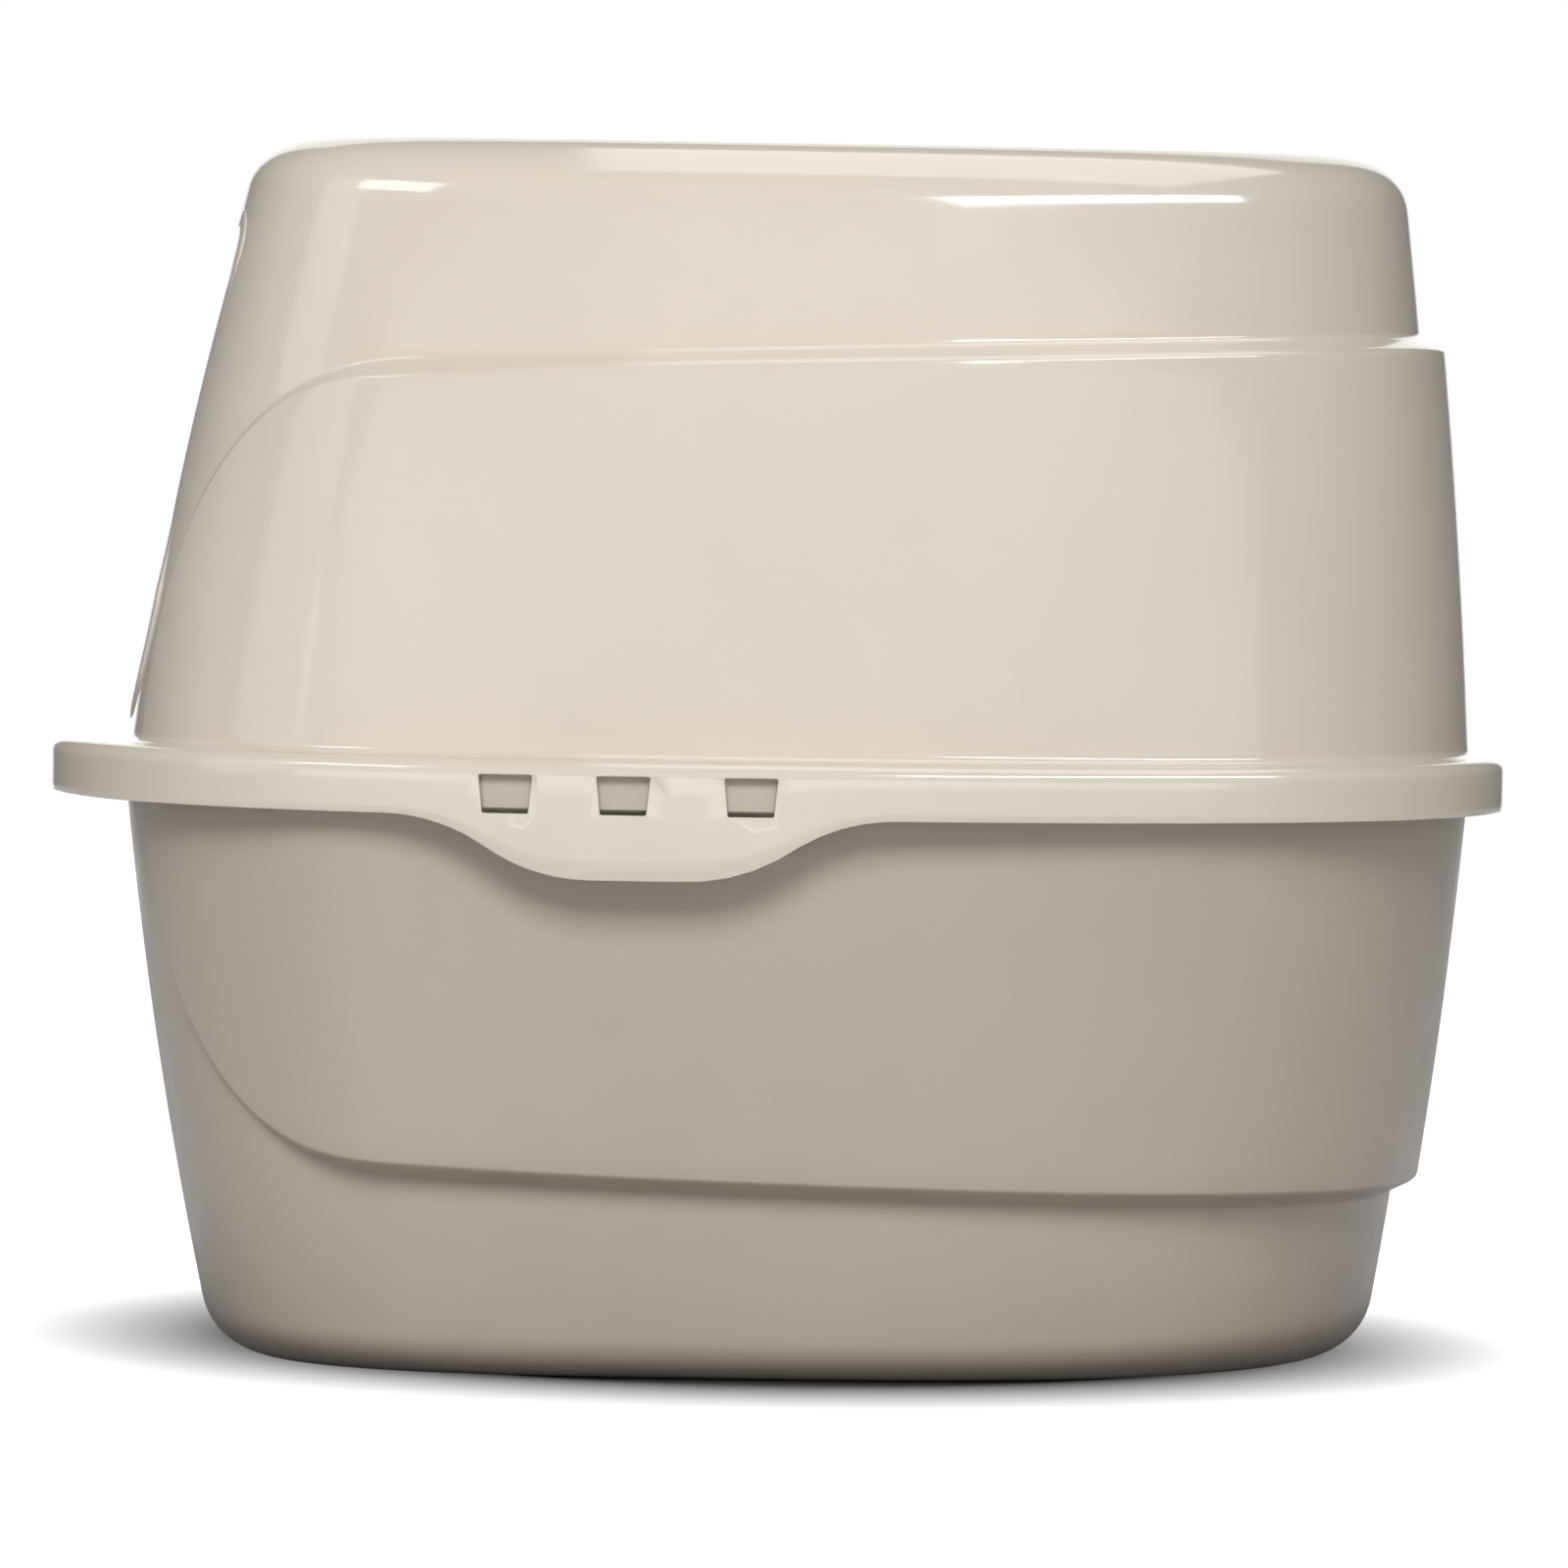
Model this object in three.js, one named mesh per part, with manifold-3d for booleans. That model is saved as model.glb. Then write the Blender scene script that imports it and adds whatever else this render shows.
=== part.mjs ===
// Cat litter box with hood: a taupe pan, a cream hood that drops over its rim, a swinging
// entrance flap, a carry handle that folds flush into the roof and a hinged filter vent.
// Millimetres, +Z up. X runs along the box with the entrance at -X, Y runs across it, and the
// origin is on the floor at the middle of the box's outline.
import * as THREE from 'three';
import { ParametricGeometry } from 'three/addons/geometries/ParametricGeometry.js';
import { mergeVertices } from 'three/addons/utils/BufferGeometryUtils.js';
import Module from 'manifold-3d';

const wasm = await Module();
wasm.setup();

// ---- Driving dimensions ----
const LENGTH = 533;          // over the rim, front to back
const WIDTH = 428;           // over the rim, at its widest
const ROOF_Z = 437.3;        // edge of the roof's flat
const CROWN = 1.2;           // rise of the roof from its edge to its middle
const RIM_TOP = 220;         // top of the hood's lip
const LIP_BOTTOM = 200.3;    // bottom edge of the hood's lip
const APEX_X = -46;          // where the box is widest
const WALL = 2.4;            // thickness of every moulded wall
const FIT = 0.3;             // gap between pieces that touch
const PANEL = 8.7;           // how far the raised side panels stand out at the back
const CREASE = 1.6;          // how far they stand out along the front crease
const LEDGE = 2.8;           // half the height of the ledge that ends a raised panel
const COLUMNS = 48;          // facets round each shell
const DRAFT = 0.16;          // lean of the walls at the rounded edges, in radians

const RIM_EXPONENT = 2.5;    // roundness of the rim's plan: 2 is an ellipse, more is squarer
const LIP_ROUND = 5.5;       // rounding of the lip's top edge
const SKIRT_GAP = 1.0;       // between the hood's lip and the pan's turned-down rim
const SKIRT_BOTTOM = 202.5;
const FLOOR_ROUND = 24;      // rounding between the pan's floor and wall
const ROOF_ROUND = 25;       // rounding between the hood's wall and roof

const TAB = { x: -48, half: 89.5, flat: 17, drop: 22 };   // grip tab on each long side of the lip
const WINDOWS = { xs: [-94.6, -53.5, -9], top: 18.4, bottom: 16, z: 201.4, height: 13 };

const DOOR = { half: 92, low: 234, high: 403, topRound: 8, lowRound: 40, back: -178 };
const FLAP = { x: -186, pivotZ: 396.5, barrel: 4, half: 89.5, low: 238, thick: 2.4, lowRound: 37 };
const PIN = { radius: 2, head: 4, headThick: 2 };

const TRAY_FLOOR = 423.5;    // floor of the two recesses in the roof
const HANDLE = { x0: -52, x1: 82, y0: -30, y1: 28, bar: 11, z0: 427.6, thick: 9, outer: 16, inner: 7 };
const HANDLE_AXIS = { y: -24, z: HANDLE.z0 + HANDLE.thick / 2 };
const HANDLE_TRAY = { x0: -56, x1: 86, y0: -35, y1: 35, corner: 5 };
const VENT_TRAY = { x0: 100, x1: 184, y0: -50, y1: 50, corner: 2 };
const VENT = { pivotX: 179.5, pivotZ: 434.5, barrel: 2.6, stub: 1.6 };
const COVER = { x0: 100.8, x1: 181.5, half: 49.2, z0: 435.2, z1: 437.7 };
const BASKET = { x0: 105, x1: 175.9, half: 45, z0: 424.2, z1: 434.9, wall: 1.8, floor: 1.9 };
const PAD = { x0: 107.2, x1: 173.8, half: 42.8, z0: 426.4, z1: 434.6 };
// Rows of slots along X: how many, where, how far apart and how wide.
const TRAY_SLOTS = { count: 5, x0: 112, x1: 168, pitch: 15, width: 7 };
const BASKET_SLOTS = { count: 5, x0: 114, x1: 167, pitch: 15, width: 9 };
const COVER_SLOTS = { count: 9, x0: 112, x1: 170, pitch: 9, width: 3.6 };

// ---- Solids and booleans ----
// Six times the volume that a triangle list encloses, below zero when its faces point inwards.
function enclosed(points, corners) {
  const [a, b, c] = [new THREE.Vector3(), new THREE.Vector3(), new THREE.Vector3()];
  let sum = 0;
  for (let i = 0; i < corners.length; i += 3) {
    a.fromBufferAttribute(points, corners[i]);
    b.fromBufferAttribute(points, corners[i + 1]);
    c.fromBufferAttribute(points, corners[i + 2]);
    sum += a.dot(b.cross(c));
  }
  return sum;
}

// Merges a closed three.js geometry's shared corners and hands it over as a manifold solid.
function solid(geometry) {
  const bare = geometry.index ? geometry.toNonIndexed() : geometry.clone();
  bare.deleteAttribute('normal');
  bare.deleteAttribute('uv');
  const merged = mergeVertices(bare, 1e-3);
  const corners = merged.index.array;
  const kept = [];
  for (let i = 0; i < corners.length; i += 3) {
    const [a, b, c] = [corners[i], corners[i + 1], corners[i + 2]];
    if (a !== b && b !== c && c !== a) kept.push(a, b, c);
  }
  if (enclosed(merged.attributes.position, kept) < 0) kept.reverse();
  const mesh = new wasm.Mesh({
    numProp: 3,
    vertProperties: new Float32Array(merged.attributes.position.array),
    triVerts: new Uint32Array(kept),
  });
  return new wasm.Manifold(mesh);
}

// Turns a manifold solid back into a named three.js mesh.
function piece(name, body, material) {
  const mesh = body.getMesh();
  const geometry = new THREE.BufferGeometry();
  geometry.setAttribute('position', new THREE.BufferAttribute(mesh.vertProperties, 3));
  geometry.setIndex(new THREE.BufferAttribute(mesh.triVerts, 1));
  geometry.computeVertexNormals();
  const part = new THREE.Mesh(geometry, material);
  part.name = name;
  return part;
}

function box(x0, x1, y0, y1, z0, z1) {
  const geometry = new THREE.BoxGeometry(x1 - x0, y1 - y0, z1 - z0);
  geometry.translate((x0 + x1) / 2, (y0 + y1) / 2, (z0 + z1) / 2);
  return solid(geometry);
}

// A rod along X or Y from one coordinate to another.
function rod(axis, from, to, radius, across, z, sides = 16) {
  const geometry = new THREE.CylinderGeometry(radius, radius, to - from, sides);
  if (axis === 'x') geometry.rotateZ(-Math.PI / 2).translate((from + to) / 2, across, z);
  else geometry.translate(across, (from + to) / 2, z);
  return solid(geometry);
}

// An outline in the XY plane, pulled up from z0 to z1.
function slab(shape, z0, z1, curveSegments = 6) {
  const options = { depth: z1 - z0, bevelEnabled: false, curveSegments };
  return solid(new THREE.ExtrudeGeometry(shape, options).translate(0, 0, z0));
}

// A four-sided outline with its corner radii given as [lower, upper].
function roundedOutline(x0, x1, y0, y1, lower, upper = lower) {
  const shape = new THREE.Shape();
  shape.moveTo(x0 + lower, y0);
  shape.lineTo(x1 - lower, y0);
  shape.absarc(x1 - lower, y0 + lower, lower, -Math.PI / 2, 0);
  shape.absarc(x1 - upper, y1 - upper, upper, 0, Math.PI / 2);
  shape.absarc(x0 + upper, y1 - upper, upper, Math.PI / 2, Math.PI);
  shape.absarc(x0 + lower, y0 + lower, lower, Math.PI, Math.PI * 1.5);
  return shape;
}

const mirrorY = (body) => body.mirror([0, 1, 0]);
const smooth = (from, to, value) => THREE.MathUtils.smoothstep(value, from, to);

// ---- The plan and the walls ----
// How the low surface of each shell changes with height: its front and back ends on the long
// axis and its half-width, all before the raised panel is added.
const pan = {
  front: (z) => -202.6 - 0.2314 * z + 0.000318 * z * z,
  back: (z) => 217.7 + 0.178 * z - 0.00024 * z * z,
  side: (z) => 172 + 0.11 * z - 0.0001 * z * z,
};
const above = (z) => z - RIM_TOP;
const hood = {
  front: (z) => -235.8 + 0.123 * above(z) + 0.00035 * above(z) ** 2,
  back: (z) => 245 - 0.05 * above(z) - 0.00018 * above(z) ** 2,
  side: (z) => 188 - 0.1 * above(z) - 0.0003 * above(z) ** 2,
};
const rim = {
  front: () => -LENGTH / 2,
  back: () => LENGTH / 2,
  side: () => WIDTH / 2,
};
const wallExponent = (theta) => 3.05 - 0.55 * Math.cos(theta);
const rimExponent = () => RIM_EXPONENT;

// Position along the box, -1 at the front and 1 at the back, of the column at an angle.
function station(theta, exponent) {
  const c = Math.cos(theta);
  return Math.sign(c) * Math.abs(c) ** (2 / exponent);
}

// A point of a shell's outline at one height, moved outwards by grow.
function outline(shell, exponentAt, theta, z, grow) {
  const exponent = exponentAt(theta);
  const along = station(theta, exponent);
  const s = Math.sin(theta);
  const across = Math.sign(s) * Math.abs(s) ** (2 / exponent);
  const reach = along < 0 ? APEX_X - shell.front(z) : shell.back(z) - APEX_X;
  return [APEX_X + (reach + grow) * along, (shell.side(z) + grow) * across, z];
}

// The edge of the raised side panels: a nearly level line that sweeps round to the rim near
// the front, down on the hood and up on the pan.
const sweep = (t) => 1 - Math.cbrt(1 - Math.min(t, 1) ** 3);
function hoodEdge(along) {
  const level = 360.5 + 9.5 * along;
  return level - 132 * sweep(Math.max(0, (-0.5 - along) / 0.455));
}
function panEdge(along) {
  const level = 70 - 7 * along;
  return level + 135 * sweep(Math.max(0, (-0.45 - along) / 0.493));
}
const FRONT_CREASE = -0.95;
function panelHeight(along) {
  if (along < FRONT_CREASE) return 0;
  return CREASE + (PANEL - CREASE) * smooth(-0.82, -0.5, along);
}

// Bottom edge of the lip: level, with a tab hanging in two tangent arcs on each long side.
function lipBottom(x) {
  const run = TAB.half - TAB.flat;
  const radius = (run ** 2 + TAB.drop ** 2) / (4 * TAB.drop);
  const u = Math.max(0, Math.abs(x - TAB.x) - TAB.flat);
  if (u >= run) return LIP_BOTTOM;
  const arc = (d) => radius - Math.sqrt(radius ** 2 - d ** 2);
  const drop = u < run / 2 ? TAB.drop - arc(u) : arc(run - u);
  return LIP_BOTTOM - drop;
}

// A closed skin: one row of points after another, from a pole on the inside round to a pole
// on the outside. Each row is a function from the column's angle to a point. The columns are
// closer together on the long sides, where the tabs are.
function skin(rows) {
  const place = (u, v, target) => {
    const row = rows[Math.round(v * (rows.length - 1))];
    const turn = u * Math.PI * 2;
    target.set(...row(turn + 0.3 * Math.sin(2 * turn)));
  };
  return solid(new ParametricGeometry(place, COLUMNS, rows.length - 1));
}

// Rows of a rounded edge between a wall and a flat: from the wall's tangent point to the flat.
function roundedRows(shell, radius, flatZ, up, grow, steps) {
  const rise = radius * (1 - Math.sin(DRAFT));
  const tangentZ = flatZ - up * rise;
  const rows = [];
  for (let i = 0; i <= steps; i += 1) {
    const angle = THREE.MathUtils.lerp(DRAFT, Math.PI / 2, i / steps);
    const inset = radius * (Math.cos(DRAFT) - Math.cos(angle));
    const z = tangentZ + up * radius * (Math.sin(angle) - Math.sin(DRAFT));
    rows.push((theta) => {
      const [x, y] = outline(shell, wallExponent, theta, tangentZ, grow - inset);
      return [x, y, z];
    });
  }
  return { rows, tangentZ };
}

// The middle of a flat: its edge drawn in halfway, then its pole.
function flatRows(edge, centreX, centreZ) {
  const half = (theta) => {
    const [x, y, z] = edge(theta);
    return [(x + centreX) / 2, y / 2, z * 0.25 + centreZ * 0.75];
  };
  return [half, () => [centreX, 0, centreZ]];
}

// Wall rows between two heights with the raised panel's ledge between them. The panel is
// below the edge on the hood (side = -1) and above it on the pan (side = 1).
function wallRows(shell, edgeAt, low, high, side, grow) {
  const rows = [];
  const add = (pick, raised, drop = 0) => rows.push((theta) => {
    const along = station(theta, wallExponent(theta));
    const edge = THREE.MathUtils.clamp(edgeAt(along), low + 3 * LEDGE, high - 3 * LEDGE);
    const out = raised ? panelHeight(along) : 0;
    const [x, y, z] = outline(shell, wallExponent, theta, pick(edge), grow + out);
    return [x, y, z - drop];
  });
  const between = (a, b, t) => a + (b - a) * t;
  const ledgeDrop = grow < 0 ? WALL / 2 : 0;
  const lowerRaised = side < 0;
  for (const t of [0, 0.34, 0.67]) add((edge) => between(low, edge - LEDGE, t), lowerRaised);
  add((edge) => edge - LEDGE, lowerRaised, ledgeDrop * side * -1);
  add((edge) => edge + LEDGE, !lowerRaised, ledgeDrop * side * -1);
  for (const t of [0.34, 0.67, 1]) add((edge) => between(edge + LEDGE, high, t), !lowerRaised);
  return rows;
}

const rimRow = (grow, zAt) => (theta) => {
  const [x, y] = outline(rim, rimExponent, theta, 0, grow);
  return [x, y, zAt(x)];
};
const shellRow = (shell, grow, z) => (theta) => {
  const along = station(theta, wallExponent(theta));
  return outline(shell, wallExponent, theta, z, grow + panelHeight(along));
};

// ---- Litter pan ----
function panShell() {
  const flangeTop = RIM_TOP - WALL - FIT;
  const flangeUnder = flangeTop - WALL;
  const skirt = -(WALL + SKIRT_GAP);
  const outerFloor = roundedRows(pan, FLOOR_ROUND, 0, -1, 0, 4);
  const innerFloor = roundedRows(pan, FLOOR_ROUND - WALL, WALL, -1, -WALL, 4);
  const outerFlat = outerFloor.rows.at(-1);
  const innerFlat = innerFloor.rows.at(-1);
  return skin([
    ...flatRows(outerFlat, 0, 0).reverse(),
    ...outerFloor.rows.slice(1).reverse(),
    ...wallRows(pan, panEdge, outerFloor.tangentZ, flangeUnder - 4, 1, 0),
    shellRow(pan, 3, flangeUnder),
    rimRow(skirt - WALL, () => flangeUnder),
    rimRow(skirt - WALL, () => SKIRT_BOTTOM),
    rimRow(skirt, () => SKIRT_BOTTOM),
    rimRow(skirt, () => flangeTop - 2),
    rimRow(skirt - 2, () => flangeTop),
    shellRow(pan, 0, flangeTop),
    shellRow(pan, -WALL, flangeTop - WALL),
    ...wallRows(pan, panEdge, innerFloor.tangentZ, flangeUnder - 4, 1, -WALL).reverse(),
    ...innerFloor.rows.slice(1),
    ...flatRows(innerFlat, 0, WALL),
  ]);
}

// Half-width of the lip's face at a place along the box, moved outwards by grow.
function rimSide(x, grow) {
  const reach = x < APEX_X ? LENGTH / 2 + APEX_X : LENGTH / 2 - APEX_X;
  const t = Math.abs(x - APEX_X) / (reach + grow);
  return (WIDTH / 2 + grow) * (1 - t ** RIM_EXPONENT) ** (1 / RIM_EXPONENT);
}

// The trapezoid of one lip window, narrower at the bottom, as a prism from y0 to y1.
function windowPrism(x, y0, y1, shrink) {
  const { top, bottom, z, height } = WINDOWS;
  const shape = new THREE.Shape();
  shape.moveTo(x - bottom / 2 + shrink, z + shrink);
  shape.lineTo(x + bottom / 2 - shrink, z + shrink);
  shape.lineTo(x + top / 2 - shrink, z + height - shrink * 2);
  shape.lineTo(x - top / 2 + shrink, z + height - shrink * 2);
  const geometry = new THREE.ExtrudeGeometry(shape, { depth: y1 - y0, bevelEnabled: false });
  return solid(geometry.rotateX(Math.PI / 2).translate(0, y1, 0));
}

// A plug that fills the hood's lip and stays just clear of it.
function lipPlug() {
  const side = -(WALL + FIT);
  return skin([
    () => [0, 0, SKIRT_BOTTOM - 5],
    rimRow(side, () => SKIRT_BOTTOM - 5),
    rimRow(side, () => RIM_TOP),
    () => [0, 0, RIM_TOP],
  ]);
}

// The pan with the catch blocks that stand behind the lip's windows.
function litterPan() {
  const plug = lipPlug();
  let body = panShell();
  for (const x of WINDOWS.xs) {
    const skirtFace = rimSide(x, -(WALL + SKIRT_GAP));
    const catchBlock = windowPrism(x, -WIDTH, -skirtFace + WALL / 2, 1).intersect(plug);
    body = body.add(catchBlock).add(mirrorY(catchBlock));
  }
  return body;
}

// ---- Hood ----
function hoodShell() {
  const outerRoof = roundedRows(hood, ROOF_ROUND, ROOF_Z, 1, 0, 4);
  const innerRoof = roundedRows(hood, ROOF_ROUND - WALL, ROOF_Z - WALL, 1, -WALL, 4);
  const base = RIM_TOP + 4;
  return skin([
    ...flatRows(innerRoof.rows.at(-1), 13, ROOF_Z + CROWN - WALL).reverse(),
    ...innerRoof.rows.slice(1).reverse(),
    ...wallRows(hood, hoodEdge, base, innerRoof.tangentZ, -1, -WALL).reverse(),
    shellRow(hood, -WALL, RIM_TOP - WALL),
    rimRow(-WALL, () => RIM_TOP - WALL),
    rimRow(-WALL, lipBottom),
    rimRow(0, lipBottom),
    rimRow(0, () => RIM_TOP - LIP_ROUND),
    rimRow(-0.3 * LIP_ROUND, () => RIM_TOP - 0.3 * LIP_ROUND),
    rimRow(-LIP_ROUND, () => RIM_TOP),
    shellRow(hood, 4, RIM_TOP),
    shellRow(hood, 1.2, RIM_TOP + 1.2),
    ...wallRows(hood, hoodEdge, base, outerRoof.tangentZ, -1, 0),
    ...outerRoof.rows.slice(1),
    ...flatRows(outerRoof.rows.at(-1), 13, ROOF_Z + CROWN),
  ]);
}

const doorOutline = (grow) => roundedOutline(
  -DOOR.half - grow, DOOR.half + grow, DOOR.low - grow, DOOR.high + grow,
  DOOR.lowRound + grow, DOOR.topRound + grow);

// Where the hood's front wall is at a place across the box and a height.
function frontWall(y, z) {
  const exponent = wallExponent(Math.PI);
  const t = Math.min(Math.abs(y) / hood.side(z), 1);
  return APEX_X - (APEX_X - hood.front(z)) * (1 - t ** exponent) ** (1 / exponent);
}

// The moulded frame of the entrance: a low rim round the opening, prouder towards its top,
// with a collar that runs straight back to where the flap hangs. The section turns once
// round the outline.
function doorFrame() {
  const inner = doorOutline(0).getPoints(5);
  const count = inner.length - 1;
  const rings = [0, 8, 9.5, WALL].map((grow) => doorOutline(grow).getPoints(5));
  const proud = (z) => THREE.MathUtils.mapLinear(z, DOOR.low, DOOR.high, 0.8, 3);
  const face = (p) => frontWall(p.x, p.y) - proud(p.y);
  const sunk = (p) => frontWall(p.x, p.y) + 2;
  const corner = [
    (i) => [face(rings[0][i]), rings[0][i]],
    (i) => [face(rings[1][i]), rings[1][i]],
    (i) => [sunk(rings[2][i]), rings[2][i]],
    (i) => [sunk(rings[3][i]), rings[3][i]],
    (i) => [DOOR.back, rings[3][i]],
    (i) => [DOOR.back, rings[0][i]],
    (i) => [face(rings[0][i]), rings[0][i]],
  ];
  const place = (u, v, target) => {
    const i = Math.round(u * count) % count;
    const [x, p] = corner[Math.round(v * 6)](i);
    target.set(x, p.x, p.y);
  };
  return solid(new ParametricGeometry(place, count, 6));
}

function doorCut() {
  const options = { depth: 110, bevelEnabled: false, curveSegments: 5 };
  const geometry = new THREE.ExtrudeGeometry(doorOutline(WALL / 2), options);
  // The outline's own axes turn into Y and Z, and its depth into X.
  const turn = new THREE.Matrix4().makeBasis(
    new THREE.Vector3(0, 1, 0), new THREE.Vector3(0, 0, 1), new THREE.Vector3(1, 0, 0));
  return solid(geometry.applyMatrix4(turn).translate(-260, 0, 0));
}

const TRAY_TOP = ROOF_Z + CROWN + 4;
function trayOutline(tray, grow) {
  const corner = tray.corner + grow;
  return roundedOutline(tray.x0 - grow, tray.x1 + grow, tray.y0 - grow, tray.y1 + grow, corner);
}
const trayBlock = (tray) => slab(trayOutline(tray, WALL), TRAY_FLOOR - WALL, ROOF_Z);
const trayHollow = (tray) => slab(trayOutline(tray, 0), TRAY_FLOOR, TRAY_TOP);

// A row of slots along X, from one height to another.
function slots({ count, x0, x1, pitch, width }, z0, z1) {
  const cuts = [];
  for (let i = 0; i < count; i += 1) {
    const y = (i - (count - 1) / 2) * pitch;
    cuts.push(slab(roundedOutline(x0, x1, y - width / 2, y + width / 2, width / 2 - 0.05), z0, z1, 3));
  }
  return cuts;
}

// The finger notch in front of the filter vent lid, and the pocket of wall round it.
const NOTCH = { x0: VENT_TRAY.x0 - 9, x1: VENT_TRAY.x0 + 4, half: 15, floor: 430.4 };
const notchPocket = () =>
  box(NOTCH.x0 - WALL, NOTCH.x1, -NOTCH.half - WALL, NOTCH.half + WALL, NOTCH.floor - WALL, ROOF_Z);
const notchHollow = () => box(NOTCH.x0, NOTCH.x1, -NOTCH.half, NOTCH.half, NOTCH.floor, TRAY_TOP);

function hoodBody() {
  let body = hoodShell().subtract(doorCut()).add(doorFrame());
  for (const x of WINDOWS.xs) {
    const cut = windowPrism(x, -WIDTH / 2 - 5, -WIDTH / 2 + 9, 0);
    body = body.subtract(cut).subtract(mirrorY(cut));
  }
  body = body.add(trayBlock(HANDLE_TRAY)).add(trayBlock(VENT_TRAY));
  body = body.add(notchPocket());
  body = body.subtract(trayHollow(HANDLE_TRAY)).subtract(trayHollow(VENT_TRAY));
  body = body.subtract(notchHollow());
  for (const cut of slots(TRAY_SLOTS, TRAY_FLOOR - 9, TRAY_FLOOR + 1)) body = body.subtract(cut);
  const hole = PIN.radius + FIT;
  const flapHole = rod('y', -DOOR.half - 8, DOOR.half + 8, hole, FLAP.x, FLAP.pivotZ);
  const tray = HANDLE_TRAY;
  const handleHole = rod('x', tray.x0 - 8, tray.x1 + 8, hole, HANDLE_AXIS.y, HANDLE_AXIS.z);
  const ends = [VENT_TRAY.y0 - 4, VENT_TRAY.y1 + 4];
  const ventHole = rod('y', ...ends, VENT.stub + FIT, VENT.pivotX, VENT.pivotZ);
  return body.subtract(flapHole).subtract(handleHole).subtract(ventHole);
}

// ---- Entrance flap and its pins ----
function entranceFlap() {
  const { half, low, lowRound, thick, x, pivotZ, barrel } = FLAP;
  const sheet = roundedOutline(-half, half, low, pivotZ, lowRound, 1);
  const geometry = new THREE.ExtrudeGeometry(sheet, { depth: thick, bevelEnabled: false, curveSegments: 6 });
  const turn = new THREE.Matrix4().makeBasis(
    new THREE.Vector3(0, 1, 0), new THREE.Vector3(0, 0, 1), new THREE.Vector3(1, 0, 0));
  let body = solid(geometry.applyMatrix4(turn).translate(x - thick / 2, 0, 0));
  body = body.add(rod('y', -half, half, barrel, x, pivotZ));
  const footHalf = half - lowRound - 6;
  body = body.add(slab(roundedOutline(x - 3.5, x + 3.5, -footHalf, footHalf, 1), low, low + 6));
  const bore = rod('y', half - 8, half + 2, PIN.radius + FIT, x, pivotZ);
  return body.subtract(bore).subtract(mirrorY(bore));
}

// A snap-in pin along Y: its head is behind the collar and its stem reaches into the flap.
function flapPin() {
  const outer = DOOR.half + WALL + FIT;
  const stem = rod('y', FLAP.half - 7, outer + 1, PIN.radius, FLAP.x, FLAP.pivotZ);
  return stem.add(rod('y', outer, outer + PIN.headThick, PIN.head, FLAP.x, FLAP.pivotZ));
}

// ---- Carry handle and its pins ----
function carryHandle() {
  const { x0, x1, y0, y1, bar, z0, thick, outer, inner } = HANDLE;
  const shape = new THREE.Shape();
  shape.moveTo(x0 + 3, y0);
  shape.lineTo(x0 + bar - 3, y0);
  shape.lineTo(x0 + bar, y0 + 3);
  shape.absarc(x0 + bar + inner, y1 - bar - inner, inner, Math.PI, Math.PI / 2, true);
  shape.absarc(x1 - bar - inner, y1 - bar - inner, inner, Math.PI / 2, 0, true);
  shape.lineTo(x1 - bar, y0 + 3);
  shape.lineTo(x1 - bar + 3, y0);
  shape.lineTo(x1 - 3, y0);
  shape.lineTo(x1, y0 + 3);
  shape.absarc(x1 - outer, y1 - outer, outer, 0, Math.PI / 2);
  shape.absarc(x0 + outer, y1 - outer, outer, Math.PI / 2, Math.PI);
  shape.lineTo(x0, y0 + 3);
  const body = slab(shape, z0, z0 + thick, 5);
  const bore = (from) => rod('x', from, from + 9, PIN.radius + FIT, HANDLE_AXIS.y, HANDLE_AXIS.z);
  return body.subtract(bore(x0 - 1)).subtract(bore(x1 - 8));
}

// A snap-in pin along X, from inside the hood through the tray's end wall into the handle.
function handlePin(end) {
  const wallFace = end < 0 ? HANDLE_TRAY.x0 - WALL - FIT : HANDLE_TRAY.x1 + WALL + FIT;
  const tip = end < 0 ? HANDLE.x0 + 7 : HANDLE.x1 - 7;
  const headEnd = wallFace + end * PIN.headThick;
  const stem = rod('x', Math.min(tip, wallFace + end), Math.max(tip, wallFace + end),
    PIN.radius, HANDLE_AXIS.y, HANDLE_AXIS.z);
  const head = rod('x', Math.min(wallFace, headEnd), Math.max(wallFace, headEnd),
    PIN.head - 0.5, HANDLE_AXIS.y, HANDLE_AXIS.z);
  return stem.add(head);
}

// ---- Filter vent: cover, pad and basket ----
const centred = ({ x0, x1, half }, grow, corner) => roundedOutline(
  x0 - grow, x1 + grow, -half - grow, half + grow, corner);

// A slotted lid with a hinge barrel, which ends in a stub at each side.
function filterCover() {
  const { y0, y1 } = VENT_TRAY;
  let body = slab(centred(COVER, 0, 4), COVER.z0, COVER.z1);
  for (const cut of slots(COVER_SLOTS, COVER.z0 - 1, COVER.z1 + 1)) body = body.subtract(cut);
  body = body.add(rod('y', y0 + 3, y1 - 3, VENT.barrel, VENT.pivotX, VENT.pivotZ));
  return body.add(rod('y', y0 - 1.8, y1 + 1.8, VENT.stub, VENT.pivotX, VENT.pivotZ, 10));
}

const carbonFilter = () => slab(centred(PAD, 0, 3), PAD.z0, PAD.z1);

// An open-topped box with a slotted floor.
function filterBasket() {
  const { z0, z1, wall, floor } = BASKET;
  let body = slab(centred(BASKET, 0, 4), z0, z1);
  body = body.subtract(slab(centred(BASKET, -wall, 3), z0 + floor, z1 + 1));
  for (const cut of slots(BASKET_SLOTS, z0 - 2, z0 + floor + 1)) body = body.subtract(cut);
  return body;
}

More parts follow.
